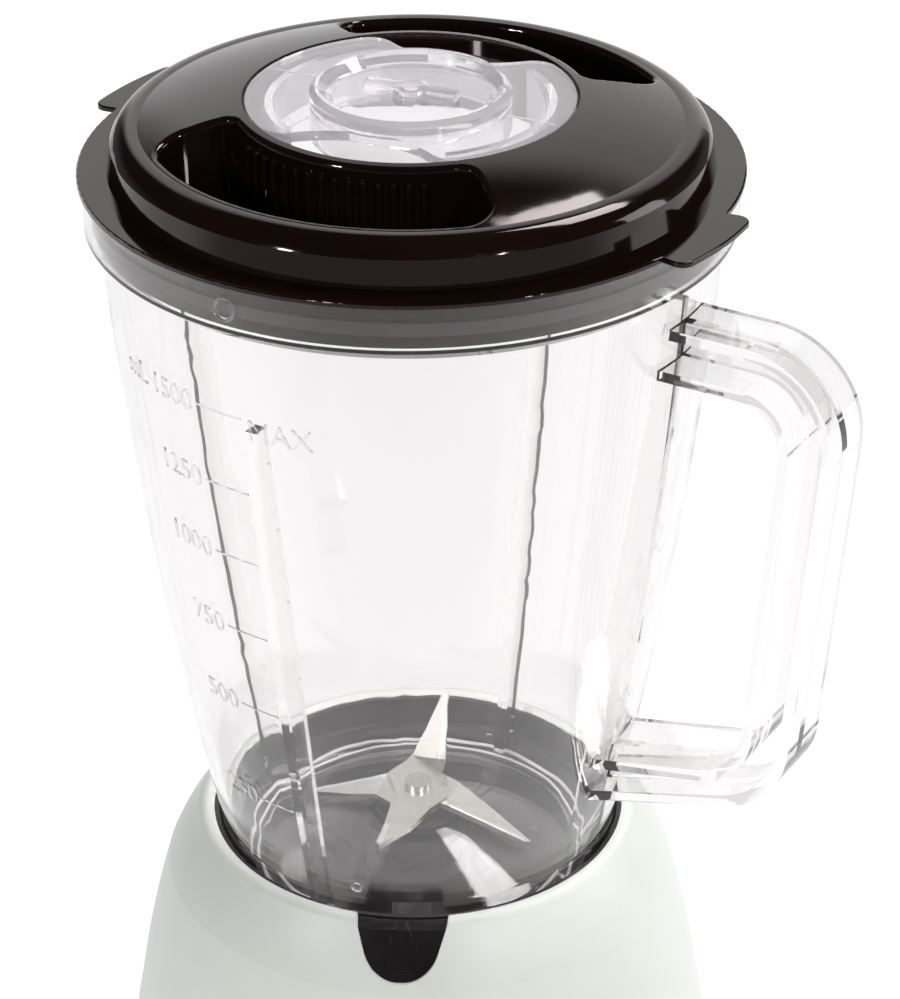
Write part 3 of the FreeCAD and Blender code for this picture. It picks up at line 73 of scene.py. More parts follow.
# Heights of the graduations above RING, in mm, and the size of their lettering
LEVELS = {"mL 1500": 136.6, "1250": 117.1, "1000": 98.2, "750": 77.4, "500": 55.2, "250": 26.5}
LETTER = mm(5.2)
LETTER_THINNED = mm(0.1)
RAISED = mm(0.24)


def around(degrees, radius, height):
    """A point at an angle round the jar's axis."""
    turn = math.radians(degrees)
    return Vector((radius * math.cos(turn), radius * math.sin(turn), height))


def wall_radius(height):
    """The jar's outer radius at a height: one long arc from the foot to the shoulder."""
    foot_r, low_r, high_r, bend = mm(46.2), mm(48.9), mm(70.8), mm(1100)
    foot_z, low_z, high_z = RING - mm(26.7), RING + mm(3), RING + mm(157)
    if height <= low_z:
        return foot_r + (low_r - foot_r) * (height - foot_z) / (low_z - foot_z)
    run, rise = high_r - low_r, high_z - low_z
    chord = math.hypot(run, rise)
    along = (height - low_z) / rise
    bulge = (chord * chord / 8 / bend) * 4 * along * (1 - along)
    return low_r + run * along + bulge


# ---- Node and material helpers ----

def linear(colour):
    """An sRGB hex colour as linear RGBA."""
    parts = [int(colour[n:n + 2], 16) / 255 for n in (0, 2, 4)]
    return [c / 12.92 if c <= 0.04045 else ((c + 0.055) / 1.055) ** 2.4 for c in parts] + [1]


def add(tree, kind, links=None, values=None, **settings):
    """Adds a node: settings are its properties, values its sockets' values, links what feeds it."""
    made = tree.nodes.new(kind)
    for name, value in settings.items():
        setattr(made, name, value)
    for name, value in (values or {}).items():
        made.inputs[name].default_value = value
    for name, source in (links or {}).items():
        tree.links.new(source, made.inputs[name])
    return made


def blank_material(name):
    """A new material with only its output node."""
    material = bpy.data.materials.new(name)
    material.use_nodes = True
    tree = material.node_tree
    tree.nodes.clear()
    return material, tree, tree.nodes.new("ShaderNodeOutputMaterial")


def place_of(tree, stretch=(1, 1, 1)):
    """Object coordinates, stretched so that a pattern can run along one axis."""
    where = add(tree, "ShaderNodeTexCoord").outputs["Object"]
    return add(tree, "ShaderNodeMapping", {"Vector": where}, {"Scale": stretch}).outputs["Vector"]


def noise(tree, where, size, detail=2.0):
    """Noise whose grains are about size metres across."""
    return add(tree, "ShaderNodeTexNoise", {"Vector": where},
               {"Scale": 1 / size, "Detail": detail}).outputs["Fac"]


def spread(tree, source, low, high):
    """Noise, which mostly lies between 0.3 and 0.7, spread between low and high."""
    return add(tree, "ShaderNodeMapRange", {"Value": source},
               {"From Min": 0.3, "From Max": 0.7, "To Min": low, "To Max": high}).outputs["Result"]


def tinted(tree, source, first, second):
    """A colour between two hex colours by a pattern, which mostly lies between 0.35 and 0.65."""
    ramp = add(tree, "ShaderNodeValToRGB", {"Fac": source})
    ends = ramp.color_ramp.elements
    ends[0].position, ends[1].position = 0.35, 0.65
    ends[0].color, ends[1].color = linear(first), linear(second)
    return ramp.outputs["Color"]


def moulded(name, light, dark, gloss, grain=1.2, depth=0.02, shine="ffffff"):
    """Moulded plastic or rubber: faint flow shade, a gloss that varies a little, orange peel."""
    material, tree, out = blank_material(name)
    where = place_of(tree)
    flow = noise(tree, where, mm(30))
    peel = noise(tree, where, mm(grain), 3)
    bump = add(tree, "ShaderNodeBump", {"Height": peel}, {"Strength": 0.25, "Distance": mm(depth)})
    shader = add(tree, "ShaderNodeBsdfPrincipled",
                 {"Base Color": tinted(tree, flow, dark, light),
                  "Roughness": spread(tree, flow, gloss * 0.9, gloss * 1.12),
                  "Normal": bump.outputs["Normal"]},
                 {"IOR": 1.5, "Specular Tint": linear(shine)})
    tree.links.new(shader.outputs["BSDF"], out.inputs["Surface"])
    return material


def metal(name, light, dark, rough, line, stretch=(1, 1, 1), depth=0.01):
    """Metal with the marks of its making: lines of a real pitch, stretched along one axis."""
    material, tree, out = blank_material(name)
    marks = noise(tree, place_of(tree, stretch), mm(line), 4)
    cloud = noise(tree, place_of(tree), mm(14))
    bump = add(tree, "ShaderNodeBump", {"Height": marks}, {"Strength": 0.4, "Distance": mm(depth)})
    shader = add(tree, "ShaderNodeBsdfPrincipled",
                 {"Base Color": tinted(tree, cloud, dark, light),
                  "Roughness": spread(tree, marks, rough * 0.8, rough * 1.25),
                  "Normal": bump.outputs["Normal"]}, {"Metallic": 1.0})
    tree.links.new(shader.outputs["BSDF"], out.inputs["Surface"])
    return material


def clear(name, tint, rough, ripple, wave=9, haze=0.0):
    """Clear moulded plastic: slow waviness of a moulded wall, and haze is the milky share of it."""
    material, tree, out = blank_material(name)
    waves = noise(tree, place_of(tree, (1, 1, 0.5)), mm(wave))
    bump = add(tree, "ShaderNodeBump", {"Height": waves}, {"Strength": 1.0, "Distance": mm(ripple)})
    glass = add(tree, "ShaderNodeBsdfPrincipled", {"Normal": bump.outputs["Normal"]},
                {"Base Color": linear(tint), "Roughness": rough, "IOR": 1.57,
                 "Transmission Weight": 1 - haze})
    through = add(tree, "ShaderNodeBsdfTransparent", values={"Color": linear(tint)})
    path = add(tree, "ShaderNodeLightPath")
    mix = add(tree, "ShaderNodeMixShader", {"Fac": path.outputs["Is Shadow Ray"]})
    tree.links.new(glass.outputs["BSDF"], mix.inputs[1])
    tree.links.new(through.outputs["BSDF"], mix.inputs[2])
    tree.links.new(mix.outputs["Shader"], out.inputs["Surface"])
    return material


WAVE_REPEAT = 2 / 6.2832     # about how far apart the bands of a Wave Texture lie at a Scale of 1


def banded(name, light, dark, rough, pitch, axis, metallic):
    """Stacked or wound stuff: fine bands of a real pitch along one axis."""
    material, tree, out = blank_material(name)
    bands = add(tree, "ShaderNodeTexWave", {"Vector": place_of(tree)},
                {"Scale": WAVE_REPEAT / mm(pitch), "Distortion": 0.4, "Detail": 1.0},
                wave_type="BANDS", bands_direction=axis).outputs["Fac"]
    bump = add(tree, "ShaderNodeBump", {"Height": bands},
               {"Strength": 0.7, "Distance": mm(pitch / 5)})
    shader = add(tree, "ShaderNodeBsdfPrincipled",
                 {"Base Color": tinted(tree, bands, dark, light),
                  "Roughness": spread(tree, bands, rough * 1.2, rough * 0.85),
                  "Normal": bump.outputs["Normal"]}, {"Metallic": metallic})
    tree.links.new(shader.outputs["BSDF"], out.inputs["Surface"])
    return material


# ---- Materials ----

ALONG_X = (0.08, 1, 1)       # stretches a pattern into lines along X
ALONG_Z = (1, 1, 0.08)

# Housing: ABS moulded in a polished tool, a cool white with a soft gloss
WHITE_ABS = moulded("ABS_white_polished_mould", "f1f5ee", "ecf1e9", 0.42, 1.4, 0.015)
# Liner and knob: black ABS, glossy with faint orange peel
BLACK_ABS = moulded("ABS_black_gloss_mould", "262022", "1d181a", 0.2, 1.1, 0.015)
KNOB_ABS = moulded("ABS_black_satin_mould", "2a2627", "201c1d", 0.36, 0.6, 0.03)
# Lid: black-brown ABS from a mirror-polished tool, which shows lamps as crisp shapes
LID_ABS = moulded("ABS_black_brown_mirror_mould", "1c0f0c", "160b09", 0.07, 6.0, 0.006, "ffecec")
# Jar and cap: clear SAN, slightly wavy; the cap's is a little milky, so that it shows on the lid
JAR_SAN = clear("SAN_clear_jar_mould", "f7f6f6", 0.015, 0.03, 14, 0.006)
CAP_SAN = clear("SAN_clear_cap_mould", "f9f7f9", 0.02, 0.02, 7, 0.16)
MARK_SAN = clear("SAN_clear_raised_marks_satin", "f7f6f8", 0.16, 0.01, 2)
# Steps round the jar's floor: the same SAN, made milky so that the steps show as bright rings; the
# milkiness is a painted highlight for the light that the real steps refract
STEP_SAN_PAINTED_HIGHLIGHT = clear("SAN_hazy_floor_steps_painted_highlight", "f7f6f8", 0.08, 0.01, 5, 0.45)
# Blades: stamped stainless, ground across, then tumbled
BLADE_STEEL = metal("stainless_stamped_tumbled", "dedfd6", "d4d5cc", 0.22, 1.6, (1, 1, 1), 0.0015)
EDGE_STEEL = metal("stainless_ground_edge", "f4f4f0", "e8e8e4", 0.16, 0.4, ALONG_X, 0.003)
TURNED_STEEL = metal("stainless_turned", "cbcbc6", "bdbdb8", 0.28, 0.3, (1, 1, 1), 0.003)
GROUND_STEEL = metal("bearing_steel_ground", "b9bbbd", "a9abad", 0.2, 0.25, (1, 1, 1), 0.002)
PLATED_STEEL = metal("steel_zinc_plated", "c4c7c9", "aeb1b5", 0.3, 0.5, (1, 1, 1), 0.004)
SPRING_STEEL = metal("spring_steel_drawn", "a5a6a6", "8f9090", 0.26, 0.2, ALONG_Z, 0.002)
CAST_ALUMINIUM = metal("aluminium_die_cast", "b6b7b5", "a2a3a1", 0.48, 1.0, (1, 1, 1), 0.03)
BUSH_BRONZE = metal("bronze_sintered", "a97c48", "8f6638", 0.42, 0.35, (1, 1, 1), 0.012)
LAMINATIONS = banded("electrical_steel_stacked", "8d8f92", "54565a", 0.42, 0.65, "Z", 1.0)
WINDING_COPPER = banded("copper_enamelled_wound", "b4632c", "6f3313", 0.3, 0.7, "Z", 0.9)
BAR_COPPER = metal("copper_turned_bars", "c77f52", "b06a40", 0.25, 0.3, (1, 1, 0.2), 0.004)
# Rubber and the plain engineering plastics
FOOT_RUBBER = moulded("rubber_natural_black_moulded", "2b2a2a", "211f20", 0.66, 0.8, 0.05)
SEAL_RUBBER = moulded("silicone_dark_moulded", "3a3233", "2f2829", 0.5, 0.9, 0.03)
NYLON_BLACK = moulded("nylon_black_glass_filled", "353032", "2a2628", 0.4, 0.5, 0.03)
NYLON_NATURAL = moulded("nylon_natural_moulded", "ddd8c8", "d2ccba", 0.45, 0.8, 0.02)
SWITCH_PHENOLIC = moulded("phenolic_black_moulded", "2c2826", "221f1d", 0.42, 0.6, 0.03)
BRUSH_CARBON = moulded("carbon_pressed_block", "38373a", "2a292b", 0.55, 0.4, 0.04)
SCALE_INK = moulded("pad_print_grey_ink", "6f7371", "676b69", 0.5, 0.5, 0.004)
POINTER_INK = moulded("pad_print_white_ink", "ecefec", "e3e6e3", 0.45, 0.5, 0.004)

FINISHES = {
    "base_housing": WHITE_ABS, "well_liner": BLACK_ABS, "bottom_cover": WHITE_ABS,
    "foot_ring": FOOT_RUBBER, "cover_screws": PLATED_STEEL, "speed_switch": SWITCH_PHENOLIC,
    "cord_inlet": FOOT_RUBBER, "terminal_block": NYLON_NATURAL, "control_knob": KNOB_ABS,
    "knob_spindle": PLATED_STEEL, "stator_core": LAMINATIONS, "field_coils": WINDING_COPPER,
    "armature_core": LAMINATIONS, "armature_windings": WINDING_COPPER, "commutator": BAR_COPPER,
    "motor_shaft": GROUND_STEEL, "cooling_fan": NYLON_BLACK, "motor_bolts": PLATED_STEEL,
    "motor_mounts": FOOT_RUBBER, "mount_screws": PLATED_STEEL, "brush_holders": SWITCH_PHENOLIC,
    "carbon_brushes": BRUSH_CARBON, "brush_springs": SPRING_STEEL, "drive_socket": NYLON_BLACK,
    "jar_coupler": NYLON_BLACK, "interlock_pin": NYLON_NATURAL, "interlock_spring": SPRING_STEEL,
    "pin_retainer": NYLON_NATURAL, "interlock_switch": SWITCH_PHENOLIC, "jar": JAR_SAN,
    "bearing_housing": NYLON_BLACK, "bearing_nut": NYLON_BLACK, "shaft_bushes": BUSH_BRONZE,
    "shaft_seal": SEAL_RUBBER, "blade_shaft": TURNED_STEEL, "blade_washer": TURNED_STEEL,
    "upper_blade": BLADE_STEEL, "lower_blade": BLADE_STEEL, "lid": LID_ABS, "lid_seal": SEAL_RUBBER,
    "filler_cap": CAP_SAN, "lower_bracket": CAST_ALUMINIUM, "upper_bracket": CAST_ALUMINIUM,
    "lower_bearing": GROUND_STEEL, "upper_bearing": GROUND_STEEL,
}
for name, finish in FINISHES.items():
    nodes[name].data.materials.clear()
    nodes[name].data.materials.append(finish)


# ---- Mesh helpers ----

def piece(name, mesh, finish, body, smooth=True):
    """A finished piece from a mesh that is already in place: its finish, shading and body."""
    made = bpy.data.objects.new(name, mesh)
    scene.collection.objects.link(made)
    mesh.materials.clear()
    mesh.materials.append(finish)
    if smooth:
        mesh.shade_smooth()
        mesh.set_sharp_from_angle(angle=math.radians(35))
    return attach(made, body)


def tree_with(name, inputs):
    """A Geometry Nodes tree with a geometry socket each way and named inputs."""
    tree = bpy.data.node_groups.new(name, "GeometryNodeTree")
    tree.interface.new_socket("Geometry", in_out="INPUT", socket_type="NodeSocketGeometry")
    for label, kind in inputs:
        tree.interface.new_socket(label, in_out="INPUT", socket_type=kind)
    tree.interface.new_socket("Geometry", in_out="OUTPUT", socket_type="NodeSocketGeometry")
    return tree, tree.nodes.new("NodeGroupInput"), tree.nodes.new("NodeGroupOutput")


def arc_tree():
    """Copies a blank along an arc about Z: each copy turns by Step and is lifted by Rise."""
    tree, given, out = tree_with("copies_along_an_arc", [
        ("Count", "NodeSocketInt"), ("Radius", "NodeSocketFloat"), ("Start", "NodeSocketFloat"),
        ("Step", "NodeSocketFloat"), ("Height", "NodeSocketFloat"), ("Rise", "NodeSocketFloat"),
        ("Finish", "NodeSocketMaterial")])
    index = add(tree, "GeometryNodeInputIndex").outputs["Index"]

    def maths(operation, first, second=None):
        """One sum on one or two sockets."""
        made = add(tree, "ShaderNodeMath", operation=operation)
        tree.links.new(first, made.inputs[0])
        if second is not None:
            tree.links.new(second, made.inputs[1])
        return made.outputs["Value"]

    angle = maths("ADD", given.outputs["Start"], maths("MULTIPLY", index, given.outputs["Step"]))
    height = maths("ADD", given.outputs["Height"], maths("MULTIPLY", index, given.outputs["Rise"]))
    spot = add(tree, "ShaderNodeCombineXYZ", {
        "X": maths("MULTIPLY", given.outputs["Radius"], maths("COSINE", angle)),
        "Y": maths("MULTIPLY", given.outputs["Radius"], maths("SINE", angle)),
        "Z": height}).outputs["Vector"]
    points = add(tree, "GeometryNodePoints", {"Count": given.outputs["Count"], "Position": spot})
    turn = add(tree, "ShaderNodeCombineXYZ", {"Z": angle})
    copies = add(tree, "GeometryNodeInstanceOnPoints", {
        "Points": points.outputs["Geometry"], "Instance": given.outputs["Geometry"],
        "Rotation": turn.outputs["Vector"]})
    real = add(tree, "GeometryNodeRealizeInstances", {"Geometry": copies.outputs["Instances"]})
    coated = add(tree, "GeometryNodeSetMaterial", {
        "Geometry": real.outputs["Geometry"], "Material": given.outputs["Finish"]})
    tree.links.new(coated.outputs["Geometry"], out.inputs["Geometry"])
    return tree


ARC_TREE = arc_tree()


def spun_copies(blank, finish, **inputs):
    """A plain mesh of a blank's copies along an arc, made by the arc tree."""
    holder = bpy.data.objects.new("blank", blank)
    scene.collection.objects.link(holder)
    modifier = holder.modifiers.new("copies", "NODES")
    modifier.node_group = ARC_TREE
    sockets = {item.name: item.identifier for item in ARC_TREE.interface.items_tree
               if item.in_out == "INPUT"}
    for label, value in inputs.items():
        modifier[sockets[label]] = value
    modifier[sockets["Finish"]] = finish
    made = bpy.data.meshes.new_from_object(
        holder.evaluated_get(bpy.context.evaluated_depsgraph_get()))
    bpy.data.objects.remove(holder)
    return made


def rounded_bar(length, width, depth, bevel):
    """A bar along Z about its centre, width across Y, depth along X, with its edges rounded."""
    shape = bmesh.new()
    bmesh.ops.create_cube(shape, size=1, matrix=Matrix.Diagonal((depth, width, length, 1)))
    bmesh.ops.bevel(shape, geom=shape.edges[:], offset=bevel, segments=2, affect="EDGES",
                    profile=0.5)
    mesh = bpy.data.meshes.new("bar")
    shape.to_mesh(mesh)
    shape.free()
    return mesh


def written(text, cap_height, thickness):
    """Flat lettering as a mesh in XY, its front towards +Z."""
    curve = bpy.data.curves.new("lettering", "FONT")
    curve.body = text
    curve.size = cap_height / 0.7
    curve.extrude = thickness / 2
    curve.resolution_u = 4
    curve.offset = -LETTER_THINNED
    holder = bpy.data.objects.new("lettering", curve)
    scene.collection.objects.link(holder)
    bpy.context.view_layer.update()
    mesh = bpy.data.meshes.new_from_object(
        holder.evaluated_get(bpy.context.evaluated_depsgraph_get()))
    bpy.data.objects.remove(holder)
    return mesh


def joined(meshes):
    """Several meshes as one."""
    shape = bmesh.new()
    for mesh in meshes:
        shape.from_mesh(mesh)
    made = bpy.data.meshes.new("joined")
    shape.to_mesh(made)
    shape.free()
    return made


def wrapped(mesh, turn, height, surface, proud):
    """Bends a flat mesh round the jar: its X runs round, its Y up, and its Z out from surface."""
    for corner in mesh.vertices:
        level = height + corner.co.y
        radius = surface(level)
        degrees = turn + math.degrees(corner.co.x / radius)
        corner.co = around(degrees, radius + corner.co.z + proud, level)
    return mesh


def cut_fine(mesh, step):
    """Splits long edges, so that a flat mesh bends smoothly."""
    shape = bmesh.new()
    shape.from_mesh(mesh)
    for _ in range(4):
        long_edges = [e for e in shape.edges if e.calc_length() > step]
        if not long_edges:
            break
        bmesh.ops.subdivide_edges(shape, edges=long_edges, cuts=1)
    bmesh.ops.triangulate(shape, faces=shape.faces[:])
    shape.to_mesh(mesh)
    shape.free()
    return mesh


# ---- The jar's raised marks and floor steps ----

def graduations():
    """The volume lines and their numbers, raised on the jar's wall."""
    meshes = []
    for label, height in LEVELS.items():
        level = RING + mm(height)
        radius = wall_radius(level)
        span = math.radians(MARK_END - MARK_TURN) * radius
        line = rounded_bar(mm(0.55), span, RAISED, mm(0.12))
        line.transform(Matrix.Rotation(math.pi / 2, 4, "X") @ Matrix.Rotation(math.pi / 2, 4, "Z"))
        line = cut_fine(line, mm(2))
        meshes.append(wrapped(line, (MARK_TURN + MARK_END) / 2, level, wall_radius, RAISED / 2))
        word = cut_fine(written(label, LETTER, RAISED), mm(2))
        width = max(v.co.x for v in word.vertices)
        start = MARK_TURN - math.degrees((width + mm(1.5)) / radius)
        meshes.append(wrapped(word, start, level - LETTER / 2, wall_radius, RAISED / 2))
    top = RING + mm(LEVELS["mL 1500"])
    full = cut_fine(written("MAX", LETTER, RAISED), mm(2))
    meshes.append(wrapped(full, MARK_END + 1, top - LETTER * 0.9, wall_radius, RAISED / 2))
    return piece("jar_graduations", joined(meshes), MARK_SAN, "jar_body", smooth=False)


graduations()


def torus(major, minor, turns=40, sides=10):
    """A ring in YZ about X."""
    shape = bmesh.new()
    rows = []
    for turn in range(turns):
        angle = 2 * math.pi * turn / turns
        rows.append([shape.verts.new((
            minor * math.sin(2 * math.pi * side / sides),
            (major + minor * math.cos(2 * math.pi * side / sides)) * math.cos(angle),
            (major + minor * math.cos(2 * math.pi * side / sides)) * math.sin(angle)))
            for side in range(sides)])
    for turn in range(turns):
        near, far = rows[turn], rows[(turn + 1) % turns]
        for side in range(sides):
            shape.faces.new((near[side], far[side], far[(side + 1) % sides],
                             near[(side + 1) % sides]))
    bmesh.ops.recalc_face_normals(shape, faces=shape.faces[:])
    mesh = bpy.data.meshes.new("ring")
    shape.to_mesh(mesh)
    shape.free()
    return mesh


def gate_rings():
    """The small raised rings that the mould leaves on the band and low on the wall."""
    meshes = []
    for turn, radius, height, size in ((-118, mm(74), RING + mm(164.7), 2.3),
                                       (-102.5, wall_radius(RING + mm(7)), RING + mm(7), 1.2)):
        ring = torus(mm(size), mm(0.5))
        ring.transform(Matrix.Translation(around(turn, radius, height))
                       @ Matrix.Rotation(math.radians(turn), 4, "Z"))
        meshes.append(ring)
    return piece("jar_gate_rings", joined(meshes), MARK_SAN, "jar_body")


gate_rings()


def floor_steps():
    """The two fine, slightly uneven steps that run round the jar's floor outside its cone."""
    meshes = []
    for major, minor, start in ((mm(42.3), mm(0.5), 0.0), (mm(40.0), mm(0.35), 2.0)):
        ring = torus(major, minor, turns=120)
        ring.transform(Matrix.Translation((0, 0, JAR_FLOOR + minor))
                       @ Matrix.Rotation(math.pi / 2, 4, "Y"))
        for corner in ring.vertices:
            turn = math.atan2(corner.co.y, corner.co.x)
            uneven = mm(0.3) * math.sin(7 * turn + start) + mm(0.15) * math.sin(13 * turn)
            corner.co.xy *= 1 + uneven / major
        meshes.append(ring)
    # The steps' milky finish is a painted highlight: it stands in for the light that the steps
    # refract
    return piece("jar_floor_steps", joined(meshes), STEP_SAN_PAINTED_HIGHLIGHT, "jar_body")


floor_steps()


# ---- The lid's grip ribs ----

def grip_ribs():
    """Fine upright ribs on the inner wall of each finger pocket."""
    low, high, count, step = RING + mm(169), RING + mm(183.8), 15, 4.6
    meshes = []
    for turn in POCKET_TURNS:
        bar = rounded_bar(high - low, mm(1.5), mm(1.9), mm(0.7))
        meshes.append(spun_copies(
            bar, LID_ABS, Count=count, Radius=mm(40.3),
            Start=math.radians(turn - step * (count - 1) / 2), Step=math.radians(step),
            Height=(low + high) / 2, Rise=0.0))
    return piece("lid_grip_ribs", joined(meshes), LID_ABS, "lid_body")


grip_ribs()


# ---- Padlock on the lock tab ----

def surface_of(*names):
    """A tree for casting rays on CAD nodes' own surfaces."""
    shape = bmesh.new()
    for name in names:
        shape.from_mesh(nodes[name].data)
    found = BVHTree.FromBMesh(shape)
    shape.free()
    return found


def raised_line(points, half, rise, closed, cast):
    """A raised line along flat points; cast puts a flat point on a surface, lifted off it."""
    count = len(points)
    shape = bmesh.new()
    rows = []
    for n, point in enumerate(points):
        before = points[(n - 1) % count] if closed or n else point
        after = points[(n + 1) % count] if closed or n < count - 1 else point
        along = (Vector(after) - Vector(before)).normalized()
        side = Vector((-along.y, along.x)) * half
        a, b = Vector(point) + side, Vector(point) - side
        rows.append([shape.verts.new(cast(spot, lift)) for spot, lift in (
            (a, -rise), (a.lerp(b, 0.2), rise), (a.lerp(b, 0.8), rise), (b, -rise))])
    pairs = list(zip(rows, rows[1:] + rows[:1])) if closed else list(zip(rows, rows[1:]))
    for near, far in pairs:
        for n in range(4):
            shape.faces.new((near[n], near[(n + 1) % 4], far[(n + 1) % 4], far[n]))
    if not closed:
        shape.faces.new(rows[0])
        shape.faces.new(rows[-1])
    bmesh.ops.recalc_face_normals(shape, faces=shape.faces[:])
    mesh = bpy.data.meshes.new("line")
    shape.to_mesh(mesh)
    shape.free()
    return mesh


def onto_front(surface):
    """Casts a point in XZ back onto what faces the front."""
    def cast(spot, lift):
        hit = surface.ray_cast(Vector((spot.x, mm(-200), spot.y)), Vector((0, 1, 0)))[0]
        return Vector((spot.x, hit.y - lift, spot.y))
    return cast


def onto_top(surface):
    """Casts a point in XY down onto what faces up."""
    def cast(spot, lift):
        hit = surface.ray_cast(Vector((spot.x, spot.y, mm(500))), Vector((0, 0, -1)))[0]
        return Vector((spot.x, spot.y, hit.z + lift))
    return cast


def circle_points(radius, start=0, end=360, step=15, middle=(0, 0)):
    """Flat points round a circle or an arc of it."""
    turns = range(start, end + (1 if end - start < 360 else 0), step)
    return [Vector(middle) + Vector((math.cos(math.radians(a)), math.sin(math.radians(a)))) * radius
            for a in turns]


def padlock():
    """A padlock outline embossed on the lock tab: body, shackle and keyhole."""
    cast = onto_front(surface_of("well_liner"))
    middle = Vector((0, RING - mm(7.4)))
    half, tall, steps = mm(3.7), mm(2.9), 8
    corners = [Vector(c) for c in ((-half, -tall), (half, -tall), (half, tall), (-half, tall))]
    body = [corners[n].lerp(corners[(n + 1) % 4], step / steps)
            for n in range(4) for step in range(steps)]
    shackle = [Vector((mm(2.4), tall)), *circle_points(mm(2.4), 0, 180, 15, (0, tall + mm(1.3))),
               Vector((mm(-2.4), tall))]
    keyhole = circle_points(mm(0.9), 0, 360, 30, (0, mm(0.6)))
    slot_line = [Vector((0, mm(-0.2))), Vector((0, mm(-1.6)))]
    line, rise = mm(0.24), mm(0.2)
    lines = [raised_line([point + middle for point in points], line, rise, closed, cast)
             for points, closed in ((body, True), (shackle, False), (keyhole, True),
                                    (slot_line, False))]
    return piece("tab_padlock", joined(lines), BLACK_ABS, "base")


padlock()


# ---- The filler cap's ridges ----

def cap_ridges():
    """The fine ridge across each wing, from the ring to the wing's edge."""
    cast = onto_top(surface_of("filler_cap"))
    lines = []
    for turn in (-24, 156):
        points = [around(turn, mm(radius), 0).xy for radius in range(24, 37, 2)]
        lines.append(raised_line(points, mm(0.35), mm(0.16), False, cast))
    return piece("cap_ridges", joined(lines), CAP_SAN, "cap_body")


cap_ridges()


# ---- The blades' ground edges ----

def ground_edge(node, turn, reach, bend_at, fold):
    """A bright ground strip along the leading edge of one arm, past its fold."""
    cast = onto_top(surface_of(node))
    root, root_half, tip, tip_half, wide = mm(3.1), mm(4.9), reach - mm(1.6), mm(2.8), mm(0.75)
    first, last, steps = bend_at + mm(0.8), tip - mm(0.3), 12
    points = []
    for step in range(steps + 1):
        flat = first + (last - first) * step / steps
        half = root_half + (tip_half - root_half) * (flat - root) / (tip - root)
        out = bend_at + (flat - bend_at) * math.cos(math.radians(fold))
        spot = Vector((out, -(half - wide - mm(0.12))))
        spot.rotate(Matrix.Rotation(math.radians(turn), 2))
        points.append(spot)
    return raised_line(points, wide, mm(0.05), False, cast)


def ground_edges():
    """The ground edges of all four arms."""
    strips = [ground_edge("lower_blade", -15.5, mm(31.5), mm(9), 21.5),
              ground_edge("lower_blade", 164.5, mm(31.5), mm(9), 21.5),
              ground_edge("upper_blade", 80, mm(31.4), mm(13), 53),
              ground_edge("upper_blade", -100, mm(31.4), mm(18), 10)]
    return piece("blade_ground_edges", joined(strips), EDGE_STEEL, "blades", smooth=False)


ground_edges()


# ---- The control knob and its scale ----

def softened(node, name, finish, body, width, sharp=40):
    """A copy of a CAD part with its sharp edges rounded, in place of the plain one."""
    shape = bmesh.new()
    shape.from_mesh(nodes[node].data)
    bmesh.ops.remove_doubles(shape, verts=shape.verts[:], dist=1e-6)
    bmesh.ops.dissolve_limit(shape, angle_limit=math.radians(0.5), verts=shape.verts[:],
                             edges=shape.edges[:])
    edges = [e for e in shape.edges
             if len(e.link_faces) == 2 and e.calc_face_angle(0) > math.radians(sharp)]
    bmesh.ops.bevel(shape, geom=edges, offset=width, segments=3, affect="EDGES", profile=0.5,
                    clamp_overlap=True)
    mesh = bpy.data.meshes.new(name)
    shape.to_mesh(mesh)
    shape.free()
    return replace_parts(piece(name, mesh, finish, body), node)


knob = softened("control_knob", "knob_soft_edged", KNOB_ABS, "knob", mm(0.8))

# The grip's front lies a hair back, so that the pointer stands proud of it
for corner in knob.data.vertices:
    corner.co.y = max(corner.co.y, KNOB_FACE + mm(0.06))


def to_dial(mesh, y):
    """Turns a mesh about Z so that it stands round the knob's own axis, at a depth."""
    mesh.transform(Matrix.Translation((0, y, KNOB_HEIGHT)) @ Matrix.Rotation(math.pi / 2, 4, "X"))
    return mesh


def knob_flutes():
    """Fine ribs round the knob's skirt, for the fingers."""
    bar = rounded_bar(mm(4.0), mm(1.1), mm(0.9), mm(0.35))
    count = 60
    ribs = spun_copies(bar, KNOB_ABS, Count=count, Radius=mm(18.9), Start=0.0,
                       Step=2 * math.pi / count, Height=0.0, Rise=0.0)
    return piece("knob_flutes", to_dial(ribs, BEZEL_FACE - mm(0.4 + 2.6)), KNOB_ABS, "knob")


knob_flutes()


def knob_pointer():
    """The white line let into the knob's grip."""
    bar = rounded_bar(mm(9), mm(1.4), mm(0.3), mm(0.1))
    bar.transform(Matrix.Translation((0, KNOB_FACE + mm(0.15), KNOB_HEIGHT + mm(12)))
                  @ Matrix.Rotation(math.pi / 2, 4, "Z"))
    return piece("knob_pointer", bar, POINTER_INK, "knob")


knob_pointer()


def dial_scale():
    """The printed scale round the knob: pulse, off and two speeds, with a tick for each."""
    meshes = []
    tick = rounded_bar(mm(0.12), mm(0.6), mm(2.0), mm(0.05))
    meshes.append(to_dial(spun_copies(
        tick, SCALE_INK, Count=4, Radius=mm(20.9), Start=0.0, Step=math.radians(45),
        Height=0.0, Rise=0.0), BEZEL_FACE))
    for label, degrees in (("P", 135), ("0", 90), ("1", 45), ("2", 0)):
        word = written(label, mm(2.4), mm(0.12))
        width = max(v.co.x for v in word.vertices)
        spot = around(degrees, mm(24), 0)
        word.transform(Matrix.Translation((spot.x - width / 2, spot.y - mm(1.2), 0)))
        meshes.append(to_dial(word, BEZEL_FACE))
    return piece("dial_scale", joined(meshes), SCALE_INK, "base", smooth=False)


dial_scale()


# ---- Light and camera ----

def aimed(spot, target):
    """A placing for a lamp that looks from spot to target."""
    turn = (Vector(target) - Vector(spot)).to_track_quat("-Z", "Y")
    return Matrix.Translation(spot) @ turn.to_matrix().to_4x4()


